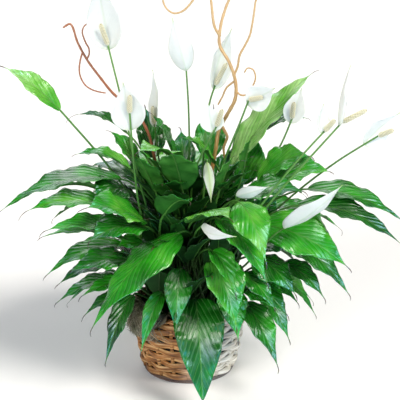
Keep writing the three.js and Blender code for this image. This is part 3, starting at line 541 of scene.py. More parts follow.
class Bend:
    # a Bezier curve through 3 or 4 control points
    def __init__(self, *points):
        self.points = [Vector(p) for p in points]

    def at(self, t):
        row = self.points
        while len(row) > 1:
            row = [a.lerp(b, t) for a, b in zip(row, row[1:])]
        return row[0]

    def way(self, t):
        row = [b - a for a, b in zip(self.points, self.points[1:])]
        while len(row) > 1:
            row = [a.lerp(b, t) for a, b in zip(row, row[1:])]
        return row[0].normalized()


class Course:
    # a smooth curve through its points, with stretches weighted by the root of their length
    def __init__(self, points):
        self.points = [Vector(p) for p in points]

    def at(self, t):
        row = self.points
        last = len(row) - 1
        k = min(int(t * last), last - 1)
        share = t * last - k
        p1, p2 = row[k], row[k + 1]
        p0 = row[k - 1] if k else 2 * row[0] - row[1]
        p3 = row[k + 2] if k + 2 <= last else 2 * row[last] - row[last - 1]
        d0, d1, d2 = [max((b - a).length, 1e-8) ** 0.5 for a, b in ((p0, p1), (p1, p2), (p2, p3))]
        m1 = ((p1 - p0) / d0 - (p2 - p0) / (d0 + d1) + (p2 - p1) / d1) * d1
        m2 = ((p2 - p1) / d1 - (p3 - p1) / (d1 + d2) + (p3 - p2) / d2) * d1
        return (p1 + m1 * share + (3 * (p2 - p1) - 2 * m1 - m2) * share ** 2
                + (2 * (p1 - p2) + m1 + m2) * share ** 3)

    def way(self, t):
        return (self.at(min(t + 1e-4, 1)) - self.at(max(t - 1e-4, 0))).normalized()

    def stations(self, steps, stretch=1):
        return [self.at(stretch * i / steps) for i in range(steps + 1)]

    def even(self, count):
        # points at even distances along the curve
        fine = self.stations(200)
        run = np.concatenate([[0], np.cumsum([(b - a).length for a, b in zip(fine, fine[1:])])])
        goals = np.interp(run[-1] * np.arange(count + 1) / count, run, np.arange(201) / 200)
        return [self.at(float(goal)) for goal in goals]


def crownSlots(centre, goals):
    # the stalks share the faces of a crown in the order of the ways they go
    turn = 2 * math.pi
    ways = sorted((math.atan2(goal[1] - centre.y, goal[0] - centre.x), k) for k, goal in enumerate(goals))
    gaps = [ways[i][0] - ways[i - 1][0] + (0 if i else turn) for i in range(len(ways))]
    first = gaps.index(max(gaps))
    order = ways[first:] + [(angle + turn, k) for angle, k in ways[:first]]
    count = max(len(goals), 4)
    shift = sum(angle - turn * i / count for i, (angle, k) in enumerate(order)) / len(order)
    ranks = {k: i for i, (angle, k) in enumerate(order)}
    return shift, count, [ranks[k] for k in range(len(goals))]


def stalkRoot(centre, shift, count, slot):
    # the middle of the sloping crown face that a stalk grows from
    corners = []
    for k in (slot, slot + 1):
        angle = shift + (2 * k - 1) * math.pi / count
        around = Vector((math.cos(angle), math.sin(angle), 0))
        corners.append(centre + around * crown["radius"] + up * crown["soil"])
        corners.append(centre + around * crown["topRadius"] + up * (crown["soil"] + crown["rise"]))
    return sum(corners, Vector()) / 4


def bladeCurve(row):
    junction, tip = Vector(row[0]), Vector(row[1])
    return Bend(junction, junction.lerp(tip, 0.5) + up * row[3] * (tip - junction).length, tip)


def leafStalk(centre, root, row):
    junction = Vector(row[0])
    outward = ((root - centre) * Vector((1, 1, 0))).normalized()
    reach = (junction - root).length
    lean = root.lerp(junction, stalk["lean"]) + outward * stalk["spread"]
    lean.z = mix(root.z, junction.z, stalk["rise"])
    arrival = junction - bladeCurve(row).way(0) * stalk["arrival"] * reach
    curve = Bend(root, lean, arrival, junction)
    stations = stalk["long"] if reach > stalk["longReach"] else stalk["short"]
    points = [root] + [curve.at(t) for t in stations] + [junction]
    return {"points": points, "radii": [stalk["halfWidth"]] * len(points),
            "free": [0 < k < len(points) - 1 for k in range(len(points))]}


def flowerStalk(centre, root, bloom):
    outward = ((root - centre) * Vector((1, 1, 0))).normalized()
    low = root + outward * stalk["spread"]
    low.z = root.z + stem["rise"]
    curve = Course([root, low] + bloom[1] + [bloom[2]])
    steps = 2 + 2 * len(bloom[1])
    points = [root] + curve.stations(steps)[1:]
    radii = [mix(stem["footRadius"], stem["radius"], k / steps) for k in range(steps + 1)]
    return {"points": points, "radii": radii, "free": [0 < k < steps - 1 for k in range(steps + 1)]}


def willowLimb(row, number):
    start, end, passes = row
    steps = len(passes) + 2
    points = Course(passes).even(steps)
    low, high = crown["soil"] + willowRoom["straight"], willowRoom["shown"]
    radii = [0.5 * mix(start, end, i / steps) for i in range(steps + 1)]
    return {"shoot": None, "points": points, "radii": radii,
            "free": [number == 0 and low < p.z < high for p in points]}


def nearest(p, q, r, s):
    # how far along two straight stretches they come nearest
    d1, d2, w = q - p, s - r, p - r
    a, b, c, d, e = d1.dot(d1), d1.dot(d2), d2.dot(d2), d1.dot(w), d2.dot(w)
    room = a * c - b * b
    t = min(max((b * e - c * d) / room, 0), 1) if room > 1e-9 else 0
    u = min(max((b * t + e) / c, 0), 1)
    return min(max((b * u - d) / a, 0), 1), u


def bendClear(stalks):
    # where two stalks run too close, their free points there move apart, so that none cross
    boxes = []
    for one in stalks:
        points = np.array(one["points"])
        boxes.append([(np.minimum(a, b) - nearRoom, np.maximum(a, b) + nearRoom)
                      for a, b in zip(points, points[1:])])
    pairs = []
    for i, one in enumerate(stalks):
        for j in range(i + 1, len(stalks)):
            for a, (low, high) in enumerate(boxes[i]):
                for b, (otherLow, otherHigh) in enumerate(boxes[j]):
                    if (low < otherHigh).all() and (otherLow < high).all():
                        pairs.append((one, stalks[j], a, b))
    for turn in range(120):
        moved = False
        for one, other, a, b in pairs:
            p, q, r, s = one["points"][a], one["points"][a + 1], other["points"][b], other["points"][b + 1]
            t, u = nearest(p, q, r, s)
            apart = p.lerp(q, t) - r.lerp(s, u)
            thick = mix(*one["radii"][a:a + 2], t) + mix(*other["radii"][b:b + 2], u)
            lack = thick + gapBetween - apart.length
            rooted = a == 0 and b == 0 and one["shoot"] == other["shoot"] and min(t, u) < stalk["rootStretch"]
            if lack > 0 and not rooted:
                step = apart.normalized() * 0.5 * lack
                ends = (one, a, 1 - t), (one, a + 1, t), (other, b, u - 1), (other, b + 1, -u)
                for line, k, share in ends:
                    if line["free"][k]:
                        line["points"][k] += step * share
                        moved = True
        if not moved:
            break
    print("stalks bent clear in", turn + 1, "rounds,", len(pairs), "near stretches")


def growShoots():
    grown = []
    for index, shoot in enumerate(shoots):
        centre = polar(shoot["azimuth"], shoot["radius"], 0)
        own = [bloom for bloom in blooms if bloom[0] == index + 1]
        goals = [row[0] for row in shoot["leaves"]] + [bloom[1][-1] for bloom in own]
        shift, count, ranks = crownSlots(centre, goals)
        lines = []
        for k, slot in enumerate(ranks):
            root = stalkRoot(centre, shift, count, slot)
            if k < len(shoot["leaves"]):
                line = leafStalk(centre, root, shoot["leaves"][k])
                line["leaf"] = shoot["leaves"][k]
            else:
                line = flowerStalk(centre, root, own[k - len(shoot["leaves"])])
                line["bloom"] = own[k - len(shoot["leaves"])]
            line["shoot"] = index
            line["number"] = k
            lines.append(line)
        grown.append({"centre": centre, "lines": lines})
    branches = []
    for node, limbs in willows:
        lines = [willowLimb(row, number) for number, row in enumerate(limbs)]
        trunk = lines[0]["points"]
        for line in lines[1:]:
            places = []
            for a, b in zip(trunk, trunk[1:]):
                share = min(max((line["points"][0] - a).dot(b - a) / (b - a).length_squared, 0), 1)
                places.append(a.lerp(b, share))
            line["points"][0] = min(places, key=lambda place: (place - line["points"][0]).length).copy()
        branches.append({"node": node, "lines": lines})
    bendClear([line for growth in grown + branches for line in growth["lines"]])
    return grown, branches


grownShoots, willowBranches = growShoots()


# Blanks that the repeated pieces are copied from.
tubeBlanks = {}
tubeUvRadius = 0.002
sheet = {"columns": 14, "rows": 64, "tailRows": 6}


def tubeBlank(sides, rings):
    # a closed tube of radius 1 whose rings stand 1 apart
    if (sides, rings) not in tubeBlanks:
        blank = addMesh("tubeBlank", bpy.ops.mesh.primitive_circle_add,
                        vertices=sides, radius=1, fill_type="NGON")
        startEdit()
        for k in range(rings - 1):
            bpy.ops.mesh.extrude_region_move(TRANSFORM_OT_translate={"value": (0, 0, 1)})
        turnOutward()
        tubeBlanks[(sides, rings)] = blank
    return tubeBlanks[(sides, rings)]


sheetBlank = addMesh("sheetBlank", bpy.ops.mesh.primitive_grid_add,
                     x_subdivisions=sheet["columns"], y_subdivisions=sheet["rows"], size=1)
pebbleBlank = addMesh("pebbleBlank", bpy.ops.mesh.primitive_ico_sphere_add, subdivisions=1, radius=1)


def runAlong(centres):
    # the distance of each point from the first, along their row
    return np.concatenate([[0], np.cumsum(np.linalg.norm(np.diff(centres, axis=0), axis=1))])


def framesAlong(centres):
    # sides and normals that don't twist along a row of points
    ways = np.gradient(centres, axis=0)
    ways = ways / np.maximum(np.linalg.norm(ways, axis=-1, keepdims=True), 1e-9)
    start = np.array([1.0, 0, 0]) if abs(ways[0][0]) < 0.8 else np.array([0, 1.0, 0])
    sides = []
    for way in ways:
        start = start - way * start.dot(way)
        start = start / np.linalg.norm(start)
        sides.append(start)
    return np.array(sides), np.cross(ways, sides)


def sweepTube(centres, radii, material, sides=8, flatness=1.0, uvName="skinUv"):
    # a round or flattened rod along its centres, which are in millimetres, as its radii are
    centres, radii = np.array(centres), np.array(radii)
    piece = copyBlank(tubeBlank(sides, len(centres)), "tube")
    blank = readPoints(piece)
    ring = np.rint(blank[:, 2]).astype(int)
    angle = np.arctan2(blank[:, 1], blank[:, 0])
    side, normal = framesAlong(centres)
    around = np.cos(angle)[:, None] * side[ring] + flatness * np.sin(angle)[:, None] * normal[ring]
    writePoints(piece, (centres[ring] + radii[ring, None] * around) * mm)
    writeUv(piece, uvName, np.stack([angle * tubeUvRadius, runAlong(centres)[ring] * mm], axis=1))
    piece.data.materials.append(material)
    return piece


def easedShare(share):
    # the rows of a sheet lie closer together at its two ends
    return 0.7 * share + 0.3 * (0.5 - 0.5 * math.cos(math.pi * share))


def halfWidth(t, width, belly, blunt, taper):
    # of a blade that is round at its foot, widest below its middle and drawn out to its tip
    return 0.5 * width * max(math.sin(math.pi * t ** belly), 0) ** (blunt + taper * t)


def sheetPlaces(piece):
    # for each point of a copied sheet: from 1 to -1 across it, and its row
    blank = readPoints(piece)
    return 1 - 2 * (blank[:, 0] + 0.5), np.rint((blank[:, 1] + 0.5) * sheet["rows"]).astype(int)


def bendSheet(piece, row, centres, sides, normals, across, lift):
    writePoints(piece, (centres[row] + sides[row] * across[:, None] + normals[row] * lift[:, None]) * mm)


leafShape = {
    "belly": 0.756, "blunt": 0.7, "taper": 0.9, "thickness": 0.5, "foldLoss": 0.6,
    "waves": 3.3, "waveHeight": 0.042, "turn": 0.37, "ripples": (6.5, 9.5), "rippleHeight": 0.016,
    "veinPitch": 22, "veinLean": 2.6, "quilt": 0.5, "groove": 0.9, "grooveWidth": 2.2,
    "tail": (6, 14), "sideways": (-9, 9), "droop": (4, 12), "tone": (0.2, 0.55), "spentFrom": (0.93, 0.985),
}
# where the photograph shows a long drawn-out tip: (shoot, leaf) to its length in millimetres
longTails = {
    (22, 1): 26, (16, 2): 24, (19, 5): 20, (19, 6): 16, (17, 2): 20, (22, 4): 16, (18, 3): 18, (22, 5): 26,
}
# how light a leaf is, where the photograph shows it, partly its own green and partly painted light and shade:
# 0 deep green, 1 yellow-green
leafTonesAndPaintedLight = {
    (1, 1): 0.04, (9, 1): 0.12, (9, 2): 0.28, (13, 1): 0.42, (13, 3): 0.1, (14, 1): 0.62, (14, 2): 0.48,
    (14, 3): 0.05, (16, 3): 0.5, (16, 5): 0.5, (17, 1): 0.38, (17, 2): 0.5, (18, 1): 0.3, (18, 2): 0.6,
    (18, 4): 0.5, (19, 1): 0.6, (19, 2): 0.5, (19, 4): 0.5, (19, 7): 0.62, (20, 1): 0.52, (20, 2): 0.8,
    (20, 4): 0.5, (20, 5): 0.6, (20, 6): 0.6, (20, 8): 0.45, (21, 1): 0.25, (21, 2): 0.32, (21, 3): 0.52,
    (21, 4): 0.5, (21, 5): 0.3, (22, 1): 0.35, (22, 4): 0.58, (22, 5): 0.2, (22, 7): 0.62, (22, 8): 0.5,
}
# and how much lighter it turns toward its tip, partly as a painted highlight
tipTonesAndPaintedHighlight = {(22, 4): 0.55, (1, 1): 0.36, (17, 1): 0.18, (18, 2): 0.15, (9, 2): 0.3}
# the share of a blade, from its stalk, that leaves above shade: there its gloss is turned down, as painted
# shade
shadedShares = {(1, 1): 0.55}
# how fast a blade narrows toward its tip, where it isn't the usual taper
tapers = {(1, 1): 0.15, (22, 4): 1.3, (22, 5): 1.3}
# young blades that have not opened to their full width
slimBlades = {(9, 1): 0.78, (9, 2): 0.7, (22, 5): 0.75}


def bladeRows(row, width, tail, taper, chance):
    # centre, way, side, half width and share of each row, from the blade's foot to the end of its tail
    curve = bladeCurve(row)
    junction, tip = curve.points[0], curve.points[-1]
    across = up.cross((tip - junction) * Vector((1, 1, 0))).normalized()
    tailRows = sheet["tailRows"]
    bladeCount = sheet["rows"] - tailRows
    found = []
    for k in range(bladeCount + 1):
        t = easedShare(k / bladeCount)
        along = curve.way(t)
        side = (across - along * across.dot(along)).normalized()
        side = Quaternion(along, math.radians(row[4])) @ side
        half = max(halfWidth(t, width, leafShape["belly"], leafShape["blunt"], taper), 0.8)
        found.append((curve.at(t), along, side, half, t))
    centre, along, side = found[-1][:3]
    sideways, droop = chance.uniform(*leafShape["sideways"]), chance.uniform(*leafShape["droop"])
    for k in range(1, tailRows + 1):
        along = Quaternion(side, math.radians(droop)) @ along
        along = (Quaternion(up, math.radians(sideways)) @ along).normalized()
        side = (side - along * side.dot(along)).normalized()
        centre = centre + along * tail / tailRows
        found.append((centre, along, side, mix(1.0, 0.45, k / tailRows), 1))
    return [np.array(column) for column in zip(*found)]


def growBlade(row, index, k, chance, inner=False):
    # gives the blade, and the points under its midrib for its stalk
    shape, key = leafShape, (index + 1, k + 1)
    tail = longTails.get(key, chance.uniform(*shape["tail"]))
    width, fold = row[2] * slimBlades.get(key, 1), math.radians(row[5])
    centres, ways, sides, reach, share = bladeRows(row, width, tail, tapers.get(key, shape["taper"]), chance)
    normals = np.cross(ways, sides)
    piece = copyBlank(sheetBlank, "blade")
    u, r = sheetPlaces(piece)
    edge, t, half, run = np.abs(u), share[r], reach[r], runAlong(centres)[r]
    fullness = width * np.sin(np.pi * t)
    rise = half * math.tan(fold) * (1 - shape["foldLoss"] * t)
    wave = shape["waves"] * t + shape["turn"] * (5 * index + k) + np.where(u > 0, 0, 0.5)
    lift = edge ** 1.25 * (rise + shape["waveHeight"] * fullness * np.sin(2 * np.pi * wave))
    ripple = chance.uniform(*shape["ripples"]) * t + 0.3 * u * k + chance.random()
    lift += edge ** 3 * shape["rippleHeight"] * fullness * np.sin(2 * np.pi * ripple)
    # the blade swells a little between its side veins and sinks along its midrib
    phase = (run - shape["veinLean"] * edge * half) / shape["veinPitch"]
    swell = np.minimum(1, 3 * edge) * np.minimum(1, half / 12)
    lift += shape["quilt"] * np.abs(np.sin(np.pi * phase)) * swell
    lift -= shape["groove"] * np.exp(-(edge * half / shape["grooveWidth"]) ** 2) * np.minimum(1, half / 8)
    bendSheet(piece, r, centres, sides, normals, u * half, lift)
    writeUv(piece, "bladeUv", np.stack([u * half * mm, run * mm], axis=1))
    # the tone is partly painted light and shade: lighter where the blade is lit, darker where it lies in
    # shade
    tone = leafTonesAndPaintedLight.get(key, chance.uniform(*shape["tone"]))
    if inner:
        # the deeper in the heart, the darker, as painted shade
        tone = chance.uniform(*innerShape["tone"]) * min(1, max(0.1, (row[0][2] - 225) / 130))
    writeNumber(piece, "leafTone", tone + tipTonesAndPaintedHighlight.get(key, 0) * t ** 1.5)
    # toward the stalk, over the shaded share, the gloss fades out: painted shade
    writeNumber(piece, "glossShare", np.clip(t / shadedShares.get(key, 0.01), 0, 1) ** 3)
    # the tail and its root are dry, and so are the outer rims of a few blades
    spentFrom = chance.uniform(*shape["spentFrom"])
    age = np.clip((t - spentFrom) / (1 - spentFrom), 0, 1)
    age += np.clip((r - sheet["rows"]) / sheet["tailRows"] + 1, 0, 1)
    age += edge ** 9 * np.clip((t - 0.55) / 0.45, 0, 1) * chance.choice([0, 0, 0, 0.4])
    writeNumber(piece, "age", np.clip(age, 0, 1))
    writeNumber(piece, "tipShare", t)
    piece.data.materials.append(leafTop)
    piece.data.materials.append(leafUnder)
    thicken(piece, shape["thickness"], backSlot=1)
    ribs = range(0, int(0.9 * (sheet["rows"] - sheet["tailRows"])) + 1, 3)
    return piece, [centres[i] - normals[i] * (0.55 + 0.9 * min(1, reach[i] / 8)) for i in ribs]


stalkShape = {"radii": (2.3, 1.75), "sheath": 1.4, "clasp": 34, "rib": (1.6, 0.35), "steps": 26, "sides": 8}
stemShape = {"radii": (2.2, 1.6), "sheath": 1.5, "clasp": 46, "sides": 10}


def sheathedRadii(shape, centres):
    # widest at the foot, which clasps the crown
    radii = []
    for i, place in enumerate(centres):
        sheath = math.exp(-((place.z - centres[0].z) / shape["clasp"]) ** 2)
        radii.append(mix(*shape["radii"], i / (len(centres) - 1)) + shape["sheath"] * sheath)
    return radii


def growStalk(points, row, ribPoints):
    # a leaf stalk runs on as the midrib under its blade
    blade = bladeCurve(row)
    course = Course(points + [blade.at(0.12), blade.at(0.3)])
    centres = course.stations(stalkShape["steps"], (len(points) - 1) / (len(course.points) - 1))
    radii = sheathedRadii(stalkShape, centres)
    count = len(ribPoints) - 1
    radii += [mix(*stalkShape["rib"], (i + 1) / count) for i in range(count)]
    return sweepTube(centres + [Vector(p) for p in ribPoints[1:]], radii, stalkSkin, stalkShape["sides"])


def growFlowerStem(points):
    centres = Course(points).stations(12 * (len(points) - 1))
    return sweepTube(centres, sheathedRadii(stemShape, centres), stalkSkin, stemShape["sides"])


crownRings = [(84, 4.6), (96, 5.6), (106, 6.2), (110, 5.6), (115, 3.6), (121, 1.0)]


def growCrown(centre):
    # the heart of the shoot, sunk into its hole in the soil
    heights, radii = zip(*crownRings)
    centres = [Vector((centre.x + 0.02 * k, centre.y, height)) for k, height in enumerate(heights)]
    return sweepTube(centres, radii, stalkSkin, sides=12)


# Young leaves that stand close in the heart of the plant and fill it, by the radius of their shoot.
innerShape = {
    "count": {62: 3, 38: 4, 15: 6}, "raised": {62: 0, 38: 50, 15: 95}, "rootHeight": 112,
    "turn": (-75, 75), "out": (4, 34), "height": (170, 250), "length": (105, 150), "steep": (38, 72),
    "tipTurn": (-40, 40), "width": (46, 66), "arch": 0.16, "roll": (-18, 18), "fold": (6, 18),
    "tone": (0.15, 0.6),
}


def innerLeaves(shoot, chance):
    shape, found = innerShape, []
    for k in range(shape["count"][shoot["radius"]]):
        azimuth = shoot["azimuth"] + chance.uniform(*shape["turn"])
        out = shoot["radius"] + chance.uniform(*shape["out"])
        height = chance.uniform(*shape["height"]) + shape["raised"][shoot["radius"]]
        junction = polar(azimuth, out, height)
        length, steep = chance.uniform(*shape["length"]), math.radians(chance.uniform(*shape["steep"]))
        tip = junction + polar(azimuth + chance.uniform(*shape["tipTurn"]),
                               length * math.cos(steep), length * math.sin(steep) * 0.8)
        found.append([list(junction), list(tip), chance.uniform(*shape["width"]), shape["arch"],
                      chance.uniform(*shape["roll"]), chance.uniform(*shape["fold"])])
    return found


leafLook = {
    "greens": ((0, "052c06"), (0.28, "11600d"), (0.5, "279414"), (0.72, "68b43a"), (1, "bfe39c")),
    "under": ((0, "0d2f0f"), (0.3, "2a6420"), (0.7, "4c8a38")),
    "paintedTipSheen": ((0.5, "ffffff"), (0.72, "b4e2ff"), (1, "7cc6ff")),
    "spent": "4c3520", "rib": "6fa34c", "vein": "6fa45c", "veinWander": 0.004,
    "streaksAlong": 18, "streaksAcross": 130, "roughness": (0.18, 0.34), "gloss": (0.12, 0.9),
}
# stalk greens by height: dark low down as painted shade, lighter further up
stalkGreensShadedLow = ((0, "93a374"), (0.04, "1c3a16"), (0.2, "24481a"), (0.5, "477a30"), (1, "64904c"))


def makeLeafTop():
    # peace lily leaf, waxy cuticle: deep green, silky gloss broken up by sunken side veins
    material, tree = startMaterial("waxyLeafUpperSide")
    uv = readUv(tree, "bladeUv")
    across = calculate(tree, "ABSOLUTE", pick(tree, uv, "X"))
    along = calculate(tree, "MULTIPLY_ADD", across, -leafShape["veinLean"], pick(tree, uv, "Y"))
    course = calculate(tree, "MULTIPLY_ADD", addNoise(tree, 60), leafLook["veinWander"], along)
    phase = calculate(tree, "MULTIPLY", course, math.pi / (leafShape["veinPitch"] * mm))
    dome = calculate(tree, "ABSOLUTE", calculate(tree, "SINE", phase))
    tone = readNumber(tree, "leafTone")
    patchy = rescale(tree, addNoise(tree, 22, 3), 0.3, 0.7, -0.16, 0.18)
    # the tone, partly painted light and shade, picks the green
    color = addRamp(tree, calculate(tree, "ADD", tone, patchy), leafLook["greens"])
    color = blend(tree, rescale(tree, dome, 0, 0.34, 0.3, 0), color, leafLook["vein"])
    color = blend(tree, rescale(tree, across, 0.0004, 0.0014, 0.45, 0), color, leafLook["rib"])
    color = blend(tree, readNumber(tree, "age"), color, leafLook["spent"])
    # fine streaks follow the side veins and break the gloss into long silvery lines
    lines = addNode(tree, "ShaderNodeCombineXYZ", "Vector", {
        "X": calculate(tree, "MULTIPLY", course, leafLook["streaksAcross"]),
        "Y": calculate(tree, "MULTIPLY", across, leafLook["streaksAlong"]), "Z": tone})
    streaks = addNoise(tree, 1, 3, lines, 0.6)
    coarse = addRelief(tree, calculate(tree, "MULTIPLY_ADD", streaks, 2, dome), 0.7, 0.001)
    # toward the hanging tips the gloss is tinted cool blue, a painted reflection of cool daylight; the rest
    # of the blade keeps the white gloss of the lamps
    paintedTipSheen = addRamp(tree, readNumber(tree, "tipShare"), leafLook["paintedTipSheen"])
    return finishMaterial(material, {
        "Base Color": color, "Roughness": rescale(tree, streaks, 0.35, 0.65, *leafLook["roughness"]),
        "Normal": addRelief(tree, addNoise(tree, 900), 0.12, 0.0002, coarse), "Specular Tint": paintedTipSheen,
        "Specular IOR Level": rescale(tree, readNumber(tree, "glossShare"), 0, 1, *leafLook["gloss"]),
        "Subsurface Weight": 0.06, "Subsurface Scale": 0.003, "Subsurface Radius": (0.3, 1.0, 0.2)})


def makeLeafUnder():
    # the leaf's underside: paler and dull, as it has no wax to speak of
    material, tree = startMaterial("dullLeafUnderside")
    patch = addNoise(tree, 40, 3)
    # the underside's green follows the leaf's tone, so it carries the same painted light and shade
    toned = calculate(tree, "MULTIPLY", readNumber(tree, "leafTone"), 1.6)
    greens = addRamp(tree, calculate(tree, "MULTIPLY", toned, patch), leafLook["under"])
    return finishMaterial(material, {
        "Base Color": blend(tree, readNumber(tree, "age"), greens, leafLook["spent"]),
        "Normal": addRelief(tree, patch, 0.2, 0.0003), "Roughness": 0.6, "Specular IOR Level": 0.12})


def makeStalkSkin():
    # smooth green stalk skin, nearly white where it is wrapped by the crown; just above that it is dark, as
    # painted shade in the heart of the plant, and lighter further up
    material, tree = startMaterial("smoothStalkSkin")
    greens = addRamp(tree, rescale(tree, pick(tree, readPlace(tree), "Z"), 0.1, 0.6), stalkGreensShadedLow)
    streaks = addNoise(tree, 260)
    return finishMaterial(material, {
        "Base Color": shadeColor(tree, greens, rescale(tree, streaks, 0.3, 0.7, 0.82, 1.12)),
        "Normal": addRelief(tree, streaks, 0.2, 0.0003), "Roughness": 0.42, "Specular IOR Level": 0.22,
        "Subsurface Weight": 0.1, "Subsurface Scale": 0.003, "Subsurface Radius": (0.5, 1.0, 0.3)})


leafTop, leafUnder, stalkSkin = makeLeafTop(), makeLeafUnder(), makeStalkSkin()


def makeShoots():
    for index, shoot in enumerate(grownShoots):
        chance = random.Random(100 + index)
        pieces = [growCrown(shoot["centre"])]
        for line in shoot["lines"]:
            if "leaf" in line:
                blade, ribPoints = growBlade(line["leaf"], index, line["number"], chance)
                pieces += [blade, growStalk(line["points"], line["leaf"], ribPoints)]
            else:
                pieces.append(growFlowerStem(line["points"]))
        root = shoot["centre"] + up * innerShape["rootHeight"]
        for k, row in enumerate(innerLeaves(shoots[index], chance)):
            blade, ribPoints = growBlade(row, index, 20 + k, chance, inner=True)
            junction = Vector(row[0])
            pieces += [blade, growStalk([root, root.lerp(junction, 0.6), junction], row, ribPoints)]
        number = f"{index + 1:02d}"
        finishPiece(joinPieces(pieces, f"lily_{number}"), [f"shoot_{number}"])
    print("shoots grown:", len(grownShoots))


makeShoots()


bractShape = {
    "belly": 0.72, "blunt": 0.6, "taper": 0.8, "thickness": 0.6, "ribBelly": 0.45, "cup": (32, 8),
    "foot": 3.4, "seat": 1.2, "ribs": 0.16, "rippleHeight": 0.03, "groove": 0.8, "grooveWidth": 1.6,
}
# spathes that are slimmer than their solids, and how green the ones are that have not turned white
slimBracts = {6: 0.72, 13: 0.78, 14: 0.78, 15: 0.72}
greenBracts = {6: 0.62, 14: 0.1, 5: 0.1}
# how much of the full white the greyer ones have: painted shade that greys the spathes the lamps light most
paintedBractShades = {1: 0.84, 2: 0.84, 8: 0.94, 13: 0.93}


def makeBractSkin():
    # spathe: a waxy white bract, faintly ribbed along its length, green at its tip and down its back
    material, tree = startMaterial("waxyWhiteBract")
    phase = calculate(tree, "MULTIPLY", pick(tree, readUv(tree, "bractUv"), "X"), math.pi * 11)
    dome = calculate(tree, "ABSOLUTE", calculate(tree, "SINE", phase))
    color = addRamp(tree, addNoise(tree, 45, 3), ((0.3, "e4eae4"), (0.7, "edf1eb")))
    color = blend(tree, rescale(tree, dome, 0, 0.3, 0.12, 0), color, "b9cfa4")
    color = blend(tree, readNumber(tree, "greenTip"), color, "9fbf6c")
    return finishMaterial(material, {
        "Base Color": shadeColor(tree, color, readNumber(tree, "bractShade")),
        "Normal": addRelief(tree, dome, 0.35, 0.0004), "Roughness": 0.5, "Specular IOR Level": 0.3,
        "Subsurface Weight": 0.5, "Subsurface Scale": 0.006, "Subsurface Radius": (1.0, 1.0, 0.9)})


def facing(azimuth, way):
    look = polar(azimuth, 1, 0)
    return (look - way * look.dot(way)).normalized()


def growSpathe(number, bloom, points, chance):
    shape = bractShape
    drop, tipAt, width, faces, bow = bloom[4:9]
    along = (points[-1] - points[-2]).normalized()
    base = points[-1] - along * drop - facing(faces, along) * shape["seat"]
    tip = Vector(tipAt)
    back = -facing(faces, (tip - base).normalized())
    rib = Bend(base, base.lerp(tip, shape["ribBelly"]) + back * bow * (tip - base).length, tip)
    found = []
    for k in range(sheet["rows"] + 1):
        t = easedShare(k / sheet["rows"])
        way = rib.way(t)
        half = halfWidth(t, slimBracts.get(number, 1) * width, shape["belly"], shape["blunt"], shape["taper"])
        half = max(half, shape["foot"] * (1 - t) if t < 0.5 else 0.5)
        found.append((rib.at(t), way, facing(faces, way).cross(way), half, t))
    centres, ways, sides, reach, share = [np.array(column) for column in zip(*found)]
    piece = copyBlank(sheetBlank, f"bract_{number:02d}")
    u, r = sheetPlaces(piece)
    edge, t, half = np.abs(u), share[r], reach[r]
    rise = half * np.tan(np.radians(mix(*shape["cup"], t)))
    ripple = 2.2 * t + 0.5 * u + chance.random()
    lift = edge ** 1.7 * rise
    lift += edge ** 3 * shape["rippleHeight"] * width * np.sin(np.pi * t) * np.sin(2 * np.pi * ripple)
    lift += shape["ribs"] * np.abs(np.sin(np.pi * 5 * u)) * np.sin(np.pi * t)
    lift -= shape["groove"] * np.exp(-(edge * half / shape["grooveWidth"]) ** 2)
    bendSheet(piece, r, centres, sides, np.cross(ways, sides), u * half, lift)
    writeUv(piece, "bractUv", np.stack([u, t], axis=1))
    # green at the tip, along the midrib and where it joins the stem
    green = 0.9 * np.clip((t - 0.9) / 0.1, 0, 1) ** 1.5
    green += 0.25 * np.exp(-(edge * half / 1.2) ** 2)
    green += 0.35 * np.clip((0.08 - t) / 0.08, 0, 1)
    green += greenBracts.get(number, 0) * (1 - edge ** 3)
    writeNumber(piece, "greenTip", np.clip(green, 0, 1))
    # painted shade on the spathes that catch the most light
    writeNumber(piece, "bractShade", np.full(len(u), paintedBractShades.get(number, 1)))
    piece.data.materials.append(bractSkin)
    thicken(piece, shape["thickness"])
    finishPiece(piece, [f"spathe_{number:02d}"])


floretCreamsAndChinkShade = ((0.1, "8d8458"), (0.6, "d2cba8"), (1, "e6e1c8"))
fingerShape = {"radius": 4.6, "length": 33, "core": 0.86, "rings": 12, "florets": 150, "floretSize": 1.35,
               "spiral": 2.399963}


def makeFloretSkin():
    # spadix: mealy cream florets, darkened to straw in the chinks between them as painted shade
    material, tree = startMaterial("mealyCreamFlorets")
    return finishMaterial(material, {
        "Base Color": addRamp(tree, readNumber(tree, "standing"), floretCreamsAndChinkShade),
        "Normal": addRelief(tree, addNoise(tree, 1600), 0.4, 0.0002),
        "Roughness": 0.8, "Specular IOR Level": 0.25,
        "Subsurface Weight": 0.15, "Subsurface Scale": 0.002, "Subsurface Radius": (1.0, 0.9, 0.6)})


def fingerProfile(t):
    return math.sqrt(max(1 - (2 * t - 1) ** 8, 0)) * mix(0.92, 0.8, t) * min(1, 0.45 + 5 * t)


